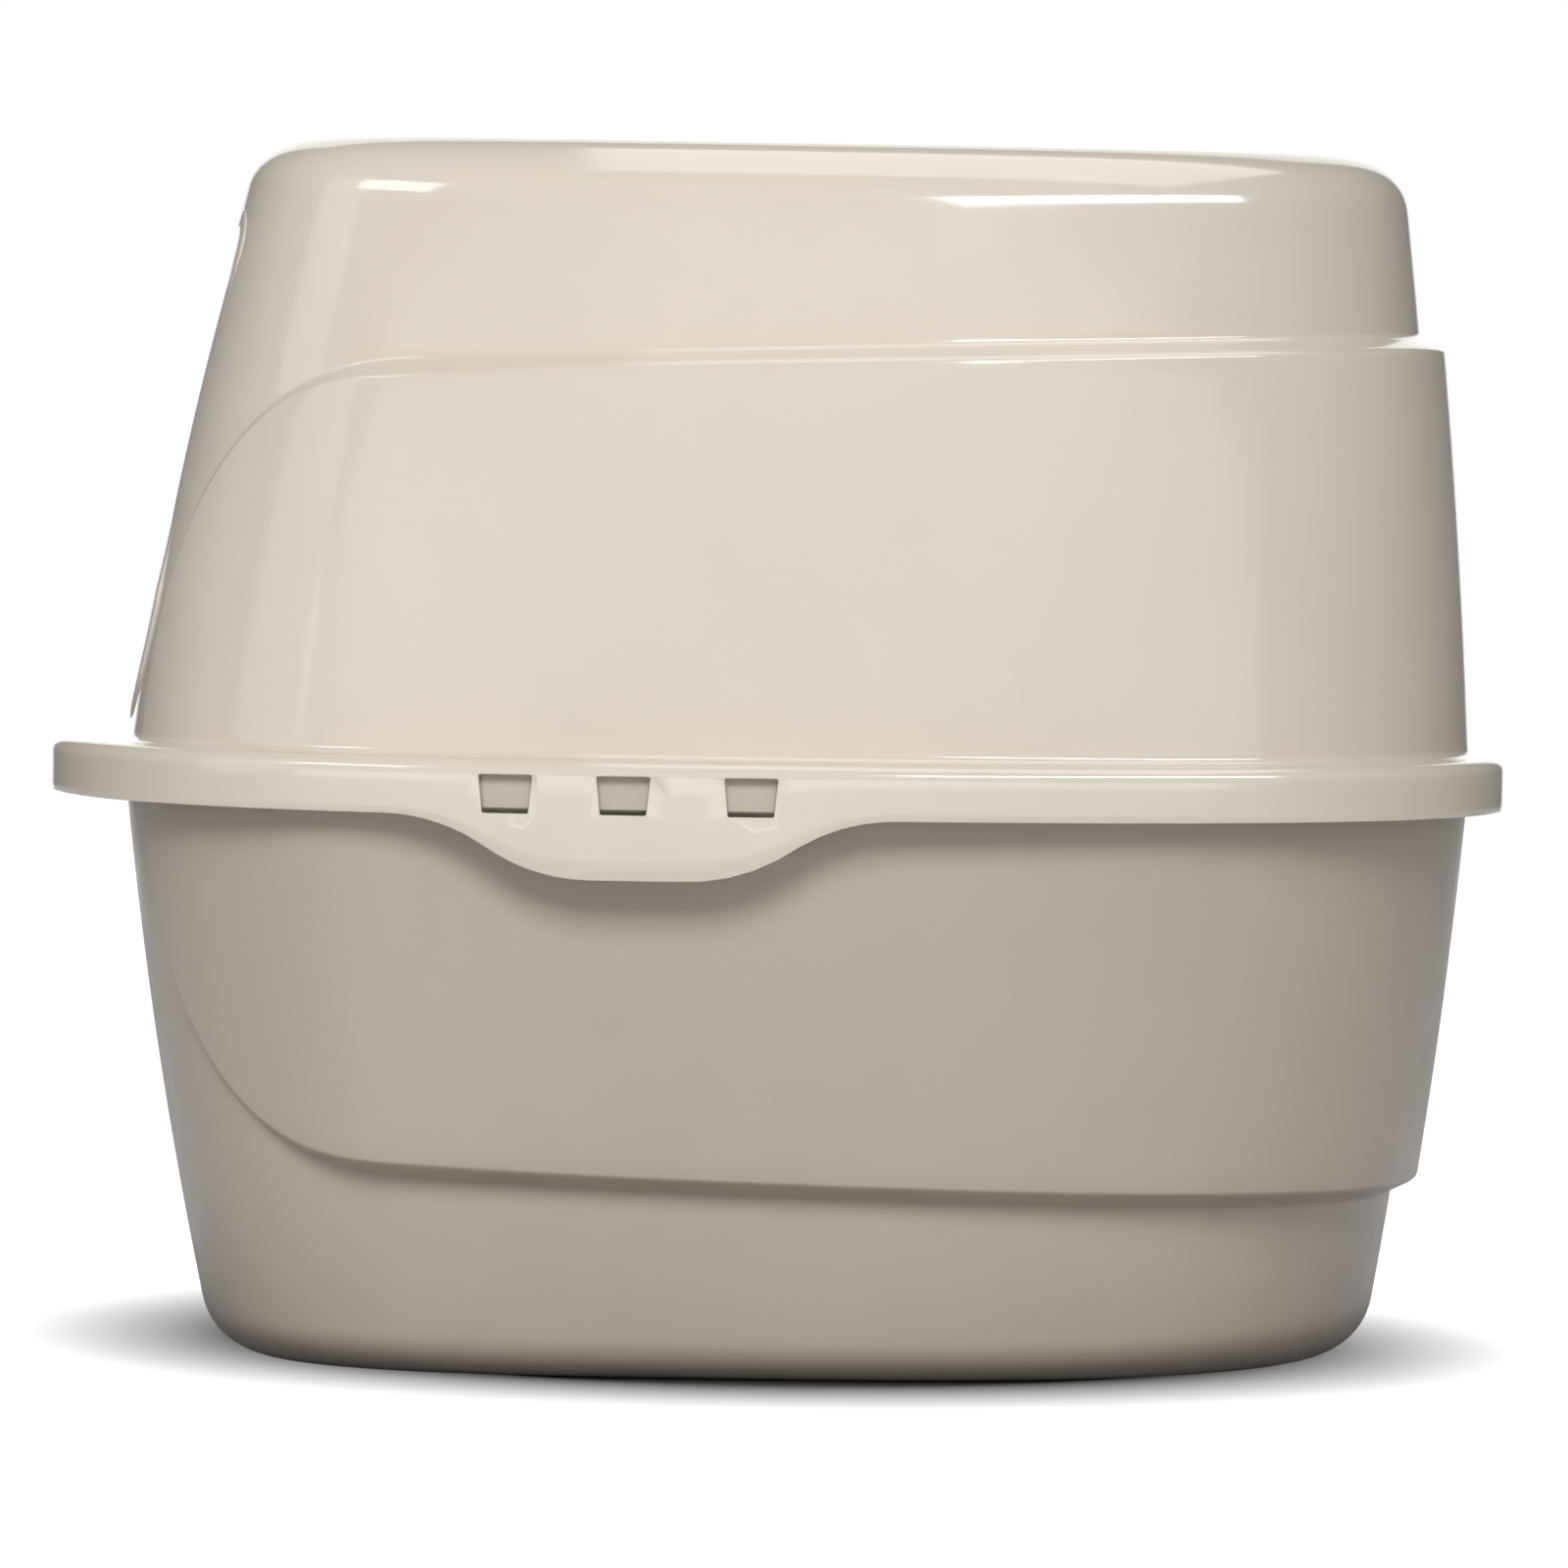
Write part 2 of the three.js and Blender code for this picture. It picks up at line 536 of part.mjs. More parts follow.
// ---- Finishes ----
const finish = (color, roughness, opacity = 1) => new THREE.MeshStandardMaterial({
  color, roughness, metalness: 0, opacity, transparent: opacity < 1,
});
const taupe = finish(0xa79f93, 0.55);
const cream = finish(0xdcd4c6, 0.2);
const smoked = finish(0x8d8880, 0.15, 0.45);
const charcoal = finish(0x2b2b2b, 0.95);
const nylon = finish(0xe8e4da, 0.45);

// ---- The assembly ----
const litterBox = new THREE.Group();
const leftPin = flapPin();
litterBox.add(
  piece('litter_pan', litterPan(), taupe),
  piece('hood', hoodBody(), cream),
  piece('entrance_flap', entranceFlap(), smoked),
  piece('flap_pin_left', leftPin, nylon),
  piece('flap_pin_right', mirrorY(leftPin), nylon),
  piece('carry_handle', carryHandle(), taupe),
  piece('handle_pin_front', handlePin(-1), nylon),
  piece('handle_pin_back', handlePin(1), nylon),
  piece('filter_cover', filterCover(), taupe),
  piece('carbon_filter', carbonFilter(), charcoal),
  piece('filter_basket', filterBasket(), taupe),
);

export default litterBox;
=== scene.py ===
# %% [markdown]
# # A cat litter box with a hood
#
# This lesson builds a hooded litter box: a taupe pan, a glossy cream hood that closes over its
# rim, a smoked flap, a folding carry handle and a filter vent in the roof. The imported model
# gives the rim's size, and the finer pieces built here take the place of its solids, so that
# nothing is fitted by hand.

# %% Load the frame
import math

import bmesh
import bpy
import numpy as np
from mathutils import Matrix, Vector


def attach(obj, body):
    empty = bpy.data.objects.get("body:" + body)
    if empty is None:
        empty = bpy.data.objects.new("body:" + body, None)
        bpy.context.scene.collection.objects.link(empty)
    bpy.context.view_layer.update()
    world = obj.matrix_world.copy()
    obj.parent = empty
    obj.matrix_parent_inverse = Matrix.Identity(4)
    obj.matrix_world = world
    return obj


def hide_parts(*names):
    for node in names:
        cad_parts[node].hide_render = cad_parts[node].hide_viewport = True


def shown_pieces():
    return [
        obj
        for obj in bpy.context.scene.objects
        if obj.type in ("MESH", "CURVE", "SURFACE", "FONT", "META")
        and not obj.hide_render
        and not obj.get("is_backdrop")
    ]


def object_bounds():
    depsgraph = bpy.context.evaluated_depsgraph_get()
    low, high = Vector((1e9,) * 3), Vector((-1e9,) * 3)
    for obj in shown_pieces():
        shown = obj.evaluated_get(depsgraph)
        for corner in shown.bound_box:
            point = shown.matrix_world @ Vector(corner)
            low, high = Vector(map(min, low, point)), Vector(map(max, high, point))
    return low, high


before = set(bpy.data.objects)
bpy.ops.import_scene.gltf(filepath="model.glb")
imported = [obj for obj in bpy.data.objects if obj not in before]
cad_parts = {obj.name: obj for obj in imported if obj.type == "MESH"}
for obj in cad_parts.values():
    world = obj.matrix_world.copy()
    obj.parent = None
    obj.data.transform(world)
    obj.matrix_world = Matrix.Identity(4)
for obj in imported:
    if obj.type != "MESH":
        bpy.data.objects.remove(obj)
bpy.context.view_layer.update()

# %% [markdown]
# ## Looking at the box
#
# The box is seen from one long side by a far camera with a long lens, which keeps the lines
# nearly parallel. The camera stands a little below the roof, looks down by two and a half
# degrees and leans by one, so the rim and the roof both seem to fall to the right.

# %% Camera
MM = 0.001
CAMERA_PLACE = Vector((2.3, -3819.8, 370.1)) * MM
CAMERA_PITCH = 0.0435
CAMERA_ROLL = 0.0165
SENSOR = 36.0
LENS = 238.6


def make_camera():
    forward = Vector((0.0, math.cos(CAMERA_PITCH), -math.sin(CAMERA_PITCH)))
    right = Vector((1.0, 0.0, 0.0))
    up = right.cross(forward)
    leaning_right = right * math.cos(CAMERA_ROLL) + up * math.sin(CAMERA_ROLL)
    leaning_up = up * math.cos(CAMERA_ROLL) - right * math.sin(CAMERA_ROLL)
    camera = bpy.data.objects.new("camera", bpy.data.cameras.new("camera"))
    camera.data.lens = LENS
    camera.data.sensor_width = SENSOR
    camera.data.clip_end = 100.0
    turn = Matrix((leaning_right, leaning_up, -forward)).transposed()
    camera.matrix_world = Matrix.Translation(CAMERA_PLACE) @ turn.to_4x4()
    bpy.context.scene.collection.objects.link(camera)
    bpy.context.scene.camera = camera
    return camera


print("lens:", make_camera().data.lens, "mm")

# %% [markdown]
# ## One rule for both shells
#
# Seen from above, the box is a rounded oblong, widest a little in front of its middle. Such an
# outline follows one formula: a superellipse, whose exponent says how square its corners are.
# Each shell has three smooth functions of height: where its front wall is, where its back wall
# is and how wide it is. The same rule shaped the model's solids that carry the weight, so the
# fine shells lie exactly over them. It is worked in millimetres here.

# %% Plan and walls
low_corner, high_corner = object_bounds()
LENGTH = (high_corner.x - low_corner.x) / MM
WIDTH = (high_corner.y - low_corner.y) / MM
APEX_X = -46.0
WALL = 2.4
RIM_TOP = 220.0
LIP_BOTTOM = 200.3
ROOF_Z = 437.3
CROWN = 1.0
RIM_EXPONENT = 2.5


def above_rim(z):
    return z - RIM_TOP


class pan_wall:
    @staticmethod
    def front(z):
        return -202.6 - 0.2314 * z + 0.000318 * z ** 2

    @staticmethod
    def back(z):
        return 217.7 + 0.178 * z - 0.00024 * z ** 2

    @staticmethod
    def side(z):
        return 172.0 + 0.11 * z - 0.0001 * z ** 2


class hood_wall:
    @staticmethod
    def front(z):
        return -235.8 + 0.123 * above_rim(z) + 0.00035 * above_rim(z) ** 2

    @staticmethod
    def back(z):
        return 245.0 - 0.05 * above_rim(z) - 0.00018 * above_rim(z) ** 2

    @staticmethod
    def side(z):
        return 188.0 - 0.1 * above_rim(z) - 0.0003 * above_rim(z) ** 2


print(f"rim {LENGTH:.0f} x {WIDTH:.0f} mm")

# %% [markdown]
# ## Columns
#
# A shell is a grid of columns, which stand round the plan, and rows, which run round the wall.
# Most columns are evenly spread. More of them stand close together where the front crease of
# the side panels runs up the wall, because an edge is only as sharp as the grid is fine there.

# %% Columns round the plan
COLUMNS = 360
CREASE_STATION = -0.952


def exponent_at(theta):
    return 3.05 - 0.55 * np.cos(theta)


def superellipse(theta, exponent):
    c, s = np.cos(theta), np.sin(theta)
    along = np.sign(c) * np.abs(c) ** (2 / exponent)
    across = np.sign(s) * np.abs(s) ** (2 / exponent)
    return along, across


def spread_columns():
    angles = np.linspace(0, 2 * math.pi, 7201)
    along, _ = superellipse(angles, exponent_at(angles))
    crease = np.exp(-((along - CREASE_STATION) / 0.012) ** 2)
    density = 1 + 5 * crease
    total = np.concatenate([[0], np.cumsum((density[1:] + density[:-1]) / 2)])
    wanted = np.linspace(0, total[-1], COLUMNS, endpoint=False)
    return np.interp(wanted, total, angles)


THETA = spread_columns()
ALONG, ACROSS = superellipse(THETA, exponent_at(THETA))
RIM_ALONG, RIM_ACROSS = superellipse(THETA, RIM_EXPONENT)
print(len(THETA), "columns")

# %% [markdown]
# ## The raised side panels
#
# On both shells a panel stands out from the wall. Its edge runs nearly level along the side
# and sweeps round to the rim near the front: down on the hood, up on the pan. At the back the
# panel stands out almost nine millimetres and ends in a ledge, and along the front it fades to
# a fine crease. The ledge is a ramp with rounded corners, and the wall's rows crowd round it.

# %% Panel edge and ledge
PANEL = 8.7
CREASE = 1.7
LEDGE = 2.3
LEDGE_ROUND = 0.55


def smooth(low, high, value):
    t = np.clip((value - low) / (high - low), 0, 1)
    return t * t * (3 - 2 * t)


def sweep(t):
    return 1 - np.cbrt(1 - np.clip(t, 0, 1) ** 3)


def hood_edge(along):
    return 360.5 + 9.5 * along - 132 * sweep((-0.5 - along) / 0.455)


def pan_edge(along):
    return 70 - 7 * along + 135 * sweep((-0.45 - along) / 0.493)


def panel_height(along, station):
    grown = CREASE + (PANEL - CREASE) * smooth(-0.82, -0.5, along)
    return grown * smooth(station - 0.005, station + 0.005, along)


def ramp(t):
    """From 0 to 1 between -1 and 1, straight in the middle and rounded at both ends."""
    k = LEDGE_ROUND
    low = (1 + k + t) ** 2 / (8 * k)
    high = 1 - (1 + k - t) ** 2 / (8 * k)
    middle = (t + 1) / 2
    inner = np.where(t < -(1 - k), low, np.where(t > 1 - k, high, middle))
    return np.where(t <= -(1 + k), 0.0, np.where(t >= 1 + k, 1.0, inner))


print("panel stands out", panel_height(np.array([-0.9, 0.0, 1.0]), CREASE_STATION).round(1))


# %% Rows of points
def ring(wall, z, grow):
    """Every column's point of a wall at a height, moved outwards by grow."""
    z = np.broadcast_to(np.asarray(z, float), THETA.shape)
    reach = np.where(ALONG < 0, APEX_X - wall.front(z), wall.back(z) - APEX_X)
    x = APEX_X + (reach + grow) * ALONG
    return np.stack([x, (wall.side(z) + grow) * ACROSS, z], axis=1)


def rim_ring(grow, z):
    """Every column's point of the rim's plan. The height may be a function of X."""
    reach = np.where(RIM_ALONG < 0, APEX_X + LENGTH / 2, LENGTH / 2 - APEX_X)
    x = APEX_X + (reach + grow) * RIM_ALONG
    y = (WIDTH / 2 + grow) * RIM_ACROSS
    height = z(x) if callable(z) else np.full_like(x, z)
    return np.stack([x, y, height], axis=1)


def wall_rows(wall, edge_at, low, high, side, station, grow, fine):
    """Rows from a low height to a high one, with the panel's ledge between them."""
    edge = np.clip(edge_at(ALONG), low + 6, high - 6)
    base = ring(wall, edge, 0)
    run = np.linalg.norm(np.roll(base, -1, 0)[:, :2] - np.roll(base, 1, 0)[:, :2], axis=1)
    slope = (np.roll(edge, -1) - np.roll(edge, 1)) / run
    half = LEDGE * np.minimum(np.sqrt(1 + slope ** 2), 6)
    half = np.minimum(half, np.minimum(edge - low, high - edge) / 2.4)
    out = panel_height(ALONG, station)
    half = half * (0.5 + 0.5 * out / PANEL)
    drop = WALL / 2 * side if grow < 0 else 0.0
    reach = 1 + LEDGE_ROUND
    counts = (22, 17, 20) if fine else (7, 7, 7)
    rows = []
    for t in np.linspace(0, 1, counts[0], endpoint=False):
        z = low + (edge - reach * half - low) * t
        rows.append(ring(wall, z, grow + (out if side < 0 else 0)))
    for t in np.linspace(-reach, reach, counts[1]):
        rise = ramp(np.array(side * t))
        points = ring(wall, edge + t * half, grow + out * rise)
        points[:, 2] += drop * (1 - abs(t) / reach)
        rows.append(points)
    for t in np.linspace(0, 1, counts[2] + 1)[1:]:
        z = (edge + reach * half) * (1 - t) + high * t
        rows.append(ring(wall, z, grow + (out if side > 0 else 0)))
    return rows


# %% [markdown]
# ## Rounded edges
#
# Between a wall and a flat, such as the floor or the roof, there is a large rounding. It starts
# at the wall's own lean, so that the gloss runs over it without a break. The radius may change
# round the plan: the roof is softer along the sides than at the two ends.

# %% Rounded edges and flats
def lean_of(wall, z, up):
    """How far the wall leans inwards towards the flat, in radians, at every column."""
    here, there = ring(wall, z - 0.5, 0), ring(wall, z + 0.5, 0)
    side = np.roll(here, -1, 0)[:, :2] - np.roll(here, 1, 0)[:, :2]
    normal = np.stack([side[:, 1], -side[:, 0]], axis=1)
    normal /= np.linalg.norm(normal, axis=1)[:, None]
    return np.arctan(-up * ((there - here)[:, :2] * normal).sum(1))


def rounded_rows(wall, radius, flat_z, up, grow, steps):
    lean = lean_of(wall, flat_z - up * radius, up)
    tangent = flat_z - up * radius * (1 - np.sin(lean))
    rows = []
    for share in np.linspace(0, 1, steps + 1):
        angle = lean + (math.pi / 2 - lean) * share
        inset = radius * (np.cos(lean) - np.cos(angle))
        points = ring(wall, tangent, grow - inset)
        points[:, 2] = tangent + up * radius * (np.sin(angle) - np.sin(lean))
        rows.append(points)
    return rows, tangent


def flat_rows(edge, centre, steps):
    """The flat inside an edge, drawn in to its middle, with a slight crown."""
    rows = []
    for t in [0.015, *np.linspace(0, 1, steps + 1)[1:-1]]:
        points = edge * (1 - t) + np.array(centre) * t
        points[:, 2] = edge[:, 2] + (centre[2] - edge[:, 2]) * (1 - (1 - t) ** 5)
        rows.append(points)
    rows.append(np.array([centre], float))
    return rows


def new_object(name, mesh):
    made = bpy.data.objects.new(name, mesh)
    bpy.context.scene.collection.objects.link(made)
    return made


def skin(name, rows):
    """A closed mesh from rows of points; the first and last rows are single poles."""
    vertices = np.concatenate(rows) * MM
    starts = np.cumsum([0] + [len(r) for r in rows])
    count = COLUMNS
    faces = []
    for i in range(len(rows) - 1):
        a, b = starts[i], starts[i + 1]
        for j in range(count):
            k = (j + 1) % count
            if len(rows[i]) == 1:
                faces.append((a, b + k, b + j))
            elif len(rows[i + 1]) == 1:
                faces.append((a + j, a + k, b))
            else:
                faces.append((a + j, a + k, b + k, b + j))
    mesh = bpy.data.meshes.new(name)
    mesh.from_pydata(vertices.tolist(), [], faces)
    made = new_object(name, mesh)
    outward(made)
    return made


def outward(made):
    """Turns every face outwards."""
    work = bmesh.new()
    work.from_mesh(made.data)
    bmesh.ops.recalc_face_normals(work, faces=work.faces)
    if work.calc_volume(signed=True) < 0:
        bmesh.ops.reverse_faces(work, faces=work.faces)
    work.to_mesh(made.data)
    work.free()


# %% [markdown]
# ## The lip and its grip tabs
#
# The hood ends in a lip that hangs over the pan's rim. On each long side its edge dips to a
# grip tab: two tangent arcs down, a short straight, and two arcs back up.

# %% Lip
LIP_ROUND = 5.5
TAB_X, TAB_HALF, TAB_FLAT, TAB_DROP = -48.0, 89.5, 17.0, 22.0


def lip_bottom(x):
    run = TAB_HALF - TAB_FLAT
    radius = (run ** 2 + TAB_DROP ** 2) / (4 * TAB_DROP)
    u = np.clip(np.abs(x - TAB_X) - TAB_FLAT, 0, run)
    upper = radius - np.sqrt(radius ** 2 - np.minimum(u, run / 2) ** 2)
    lower = radius - np.sqrt(radius ** 2 - (run - np.maximum(u, run / 2)) ** 2)
    drop = np.where(u < run / 2, TAB_DROP - upper, lower)
    return LIP_BOTTOM - drop


def lip_rows():
    """From the hood's inner wall under the rim's flat, down the lip, round its edge and up."""
    rows = [rim_ring(-WALL - 3, RIM_TOP - WALL), rim_ring(-WALL, RIM_TOP - WALL - 3)]
    for share in (0.25, 0.5, 0.75):
        rows.append(rim_ring(-WALL, lambda x, s=share: (RIM_TOP - 8) * (1 - s) + lip_bottom(x) * s))
    for grow, lift in ((-WALL, 0.5), (-WALL + 0.5, 0), (-0.6, 0), (-0.18, 0.18), (0, 0.6)):
        rows.append(rim_ring(grow, lambda x, h=lift: lip_bottom(x) + h))
    for share in (0.2, 0.4, 0.6, 0.8):
        rows.append(rim_ring(0, lambda x, s=share: lip_bottom(x) * (1 - s) + (RIM_TOP - LIP_ROUND) * s))
    for angle in np.linspace(0, math.pi / 2, 9):
        inset = LIP_ROUND * (1 - math.cos(angle))
        rows.append(rim_ring(-inset, RIM_TOP - LIP_ROUND * (1 - math.sin(angle))))
    rows.append(rim_ring(-LIP_ROUND - 0.7, RIM_TOP))
    return rows


def fillet_rows(wall, z, radius, station, up=1, steps=6):
    """The hollow rounding between the rim's flat and the wall above or below it."""
    out = panel_height(ALONG, station)
    rows = [ring(wall, z, out + radius + 0.7)]
    for angle in np.linspace(0, math.pi / 2, steps + 1)[:-1]:
        grow = radius * (1 - math.sin(angle))
        rows.append(ring(wall, z + up * radius * (1 - math.cos(angle)), out + grow))
    return rows


# %% Hood shell
BASE_ROUND = 3.5
ROOF_ROUND_SIDE, ROOF_ROUND_END = 27.0, 22.0
HOOD_STATION = CREASE_STATION
PAN_STATION = -0.945


def hood_shell():
    radius = ROOF_ROUND_END + (ROOF_ROUND_SIDE - ROOF_ROUND_END) * np.abs(ACROSS) ** 2
    outer, tangent = rounded_rows(hood_wall, radius, ROOF_Z, 1, 0, 16)
    inner, inner_tangent = rounded_rows(hood_wall, radius - WALL, ROOF_Z - WALL, 1, -WALL, 6)
    base = RIM_TOP + BASE_ROUND
    out = panel_height(ALONG, HOOD_STATION)
    rows = flat_rows(inner[-1], (13, 0, ROOF_Z + CROWN - WALL), 5)[::-1]
    rows += inner[1:][::-1]
    rows += wall_rows(hood_wall, hood_edge, base, inner_tangent, -1, HOOD_STATION, -WALL, False)[::-1]
    rows += [ring(hood_wall, RIM_TOP - WALL, out - WALL)]
    rows += lip_rows()
    rows += fillet_rows(hood_wall, RIM_TOP, BASE_ROUND, HOOD_STATION)
    rows += wall_rows(hood_wall, hood_edge, base, tangent, -1, HOOD_STATION, 0, True)
    rows += outer[1:]
    rows += flat_rows(outer[-1], (13, 0, ROOF_Z + CROWN), 8)
    return skin("hood_shell", rows)


hood = hood_shell()
print("hood shell faces:", len(hood.data.polygons))

# %% [markdown]
# ## Solid helpers
#
# The other pieces are lofts: closed skins over a few outlines. A plate is a loft whose top and
# bottom edges are rounded, and a turned piece is a loft of circles. Holes and recesses are cut
# with exact booleans, whose cutters flare a little at the surface so that every edge is soft.

# %% Outlines, lofts and booleans
def arc(cx, cy, radius, start, end, steps=8):
    angles = np.linspace(start, end, steps + 1)
    return np.stack([cx + radius * np.cos(angles), cy + radius * np.sin(angles)], axis=1)


def rounded_outline(x0, x1, y0, y1, lower, upper=None, steps=8):
    """A four-sided outline, with its corner radii given as lower and upper."""
    upper = lower if upper is None else upper
    q = math.pi / 2
    return np.concatenate([
        arc(x1 - lower, y0 + lower, lower, -q, 0, steps),
        arc(x1 - upper, y1 - upper, upper, 0, q, steps),
        arc(x0 + upper, y1 - upper, upper, q, 2 * q, steps),
        arc(x0 + lower, y0 + lower, lower, 2 * q, 3 * q, steps)])


def grown(outline, amount):
    """The outline moved outwards along its own normals."""
    edge = np.roll(outline, -1, 0) - outline
    normal = np.stack([edge[:, 1], -edge[:, 0]], axis=1)
    normal /= np.maximum(np.linalg.norm(normal, axis=1), 1e-9)[:, None]
    both = normal + np.roll(normal, 1, 0)
    scale = np.maximum((both * normal).sum(1), 0.4)[:, None]
    return outline + amount * both / scale


def level(outline, z):
    return np.concatenate([outline, np.full((len(outline), 1), float(z))], axis=1)


def loft(name, rings, turn=None, bow=False):
    """A closed skin over rings with the same number of points. turn reorders the axes.

    The two ends are one face each, or for a bow a strip between its inner and outer edge.
    """
    points = np.concatenate(rings)
    if turn:
        points = points[:, ["xyz".index(axis) for axis in turn]]
    count = len(rings[0])
    end = [tuple(range(count))]
    if bow:
        end = [(j, j + 1, count - 2 - j, count - 1 - j) for j in range(count // 2 - 1)]
    faces = list(end)
    for i in range(len(rings) - 1):
        a, b = i * count, (i + 1) * count
        faces += [(a + j, b + j, b + (j + 1) % count, a + (j + 1) % count) for j in range(count)]
    last = (len(rings) - 1) * count
    faces += [tuple(last + j for j in face)[::-1] for face in end]
    mesh = bpy.data.meshes.new(name)
    mesh.from_pydata((points * MM).tolist(), [], faces)
    made = new_object(name, mesh)
    outward(made)
    return made


def hoop(name, rings):
    """A closed skin over rings whose last one meets the first, such as a frame or a bead."""
    count = len(rings[0])
    faces = []
    for i in range(len(rings)):
        a, b = i * count, (i + 1) % len(rings) * count
        faces += [(a + j, b + j, b + (j + 1) % count, a + (j + 1) % count) for j in range(count)]
    mesh = bpy.data.meshes.new(name)
    mesh.from_pydata((np.concatenate(rings) * MM).tolist(), [], faces)
    made = new_object(name, mesh)
    outward(made)
    return made


def plate(name, outline, z0, z1, soft, turn=None, steps=4, bow=False):
    angles = np.linspace(0, math.pi / 2, steps + 1)
    rings = [level(grown(outline, -soft * (1 - math.sin(a))), z0 + soft * (1 - math.cos(a)))
             for a in angles]
    rings += [level(grown(outline, -soft * (1 - math.sin(a))), z1 - soft * (1 - math.cos(a)))
              for a in angles[::-1]]
    return loft(name, rings, turn, bow)


def turned(name, axis, centre, profile, sides=32):
    """A turned piece along X or Y. The profile is pairs of position and radius."""
    angles = np.linspace(0, 2 * math.pi, sides, endpoint=False)
    rings = []
    for place, radius in profile:
        a = centre[0] + radius * np.cos(angles)
        z = centre[1] + radius * np.sin(angles)
        along = np.full_like(a, place)
        rings.append(np.stack([along, a, z] if axis == "x" else [a, along, z], axis=1))
    return loft(name, rings)


def joined(objects):
    """One object from several that don't meet."""
    work = bmesh.new()
    for o in objects:
        work.from_mesh(o.data)
    mesh = bpy.data.meshes.new("joined")
    work.to_mesh(mesh)
    work.free()
    for o in objects:
        bpy.data.objects.remove(o)
    return new_object("joined", mesh)


def combine(target, others, operation):
    """Applies one exact boolean, with every other solid in one go."""
    tool = joined(others)
    modifier = target.modifiers.new("combine", "BOOLEAN")
    modifier.solver = "EXACT"
    modifier.operation = operation
    modifier.object = tool
    bpy.context.view_layer.update()
    evaluated = target.evaluated_get(bpy.context.evaluated_depsgraph_get())
    mesh = bpy.data.meshes.new_from_object(evaluated)
    target.modifiers.clear()
    target.data = mesh
    bpy.data.objects.remove(tool)
    return target


def cut(target, *others):
    return combine(target, others, "DIFFERENCE")


def fuse(target, *others):
    return combine(target, others, "UNION")


# %% [markdown]
# ## Windows in the lip
#
# Three keystone windows in the lip show the pan behind it. The same cutter is used on both
# sides. It follows the curve of the lip and flares by half a millimetre at the surface.

# %% Lip windows
WINDOW_XS = (-94.6, -53.5, -9.0)
WINDOW_TOP, WINDOW_BOTTOM, WINDOW_Z, WINDOW_TALL = 18.6, 16.0, 201.2, 13.4


def rim_side(x):
    reach = np.where(x < APEX_X, APEX_X + LENGTH / 2, LENGTH / 2 - APEX_X)
    share = np.abs((x - APEX_X) / reach)
    return WIDTH / 2 * (1 - share ** RIM_EXPONENT) ** (1 / RIM_EXPONENT)


def keystone(x, grow, corner=0.7):
    half, low, high = WINDOW_TOP / 2 + grow, WINDOW_Z - grow, WINDOW_Z + WINDOW_TALL + grow
    outline = rounded_outline(-half, half, low, high, corner + grow, steps=4)
    taper = np.interp(outline[:, 1], (low, high), (WINDOW_BOTTOM / WINDOW_TOP, 1))
    return np.stack([x + outline[:, 0] * taper, outline[:, 1]], axis=1)


def on_lip(outline, depth, side):
    """An outline of X and Z, laid on the lip's curve at a depth inside it."""
    x, z = outline.T
    return np.stack([x, -side * (rim_side(x) - depth), z], axis=1)


def window_cutter(x, side):
    section = ((-3, 0.5), (-0.05, 0.5), (0.1, 0.22), (0.45, 0), (9, 0))
    return loft("window", [on_lip(keystone(x, grow), depth, side) for depth, grow in section])


# %% [markdown]
# ## The entrance
#
# The entrance is cut through the hood's front wall, and a raised frame with a deep collar is
# fused round it. The frame's face follows the wall, and stands out more towards the foot.

# %% Entrance cut and frame
DOOR_HALF, DOOR_LOW, DOOR_HIGH, DOOR_BACK = 92.0, 234.0, 403.0, -178.0
DOOR_TOP_ROUND, DOOR_LOW_ROUND, DOOR_RIM = 8.0, 40.0, 8.0
DOOR_CUT = (-262.0, -150.0)
FRONT_EXPONENT = exponent_at(math.pi)


def front_wall(y, z):
    share = np.clip(np.abs(y) / hood_wall.side(z), 0, 1)
    reach = APEX_X - hood_wall.front(z)
    return APEX_X - reach * (1 - share ** FRONT_EXPONENT) ** (1 / FRONT_EXPONENT)


def door_outline(grow):
    return rounded_outline(
        -DOOR_HALF - grow, DOOR_HALF + grow, DOOR_LOW - grow, DOOR_HIGH + grow,
        DOOR_LOW_ROUND + grow, DOOR_TOP_ROUND + grow, steps=14)


def door_frame():
    def place(grow, depth):
        outline = door_outline(grow)
        y, z = outline.T
        if depth is None:
            x = np.full_like(y, DOOR_BACK)
        else:
            proud = np.interp(z, (DOOR_LOW, DOOR_HIGH), (1.1, 0.3))
            x = front_wall(y, z) - (proud if depth < 1.5 else 0) + depth
        return np.stack([x, y, z], axis=1)

    section = [(0.5, None), (0, 1.2), (0.35, 0.35), (1.2, 0)]
    section += [(DOOR_RIM - 1.0, 0), (DOOR_RIM - 0.3, 0.3), (DOOR_RIM, 1.0)]
    section += [(DOOR_RIM + 1.5, 2), (WALL, 2), (WALL, None)]
    return hoop("door_frame", [place(grow, depth) for grow, depth in section])


def door_cut():
    return loft("door_cut", [level(door_outline(WALL / 2), x) for x in DOOR_CUT], turn="zxy")


print("entrance", 2 * DOOR_HALF, "mm wide")

# %% [markdown]
# ## Recesses in the roof
#
# The handle folds into one recess and the filter vent lies in the other. Each is a block hung
# under the roof with a hollow cut in it. The hollow's floor is rounded and its mouth flares.

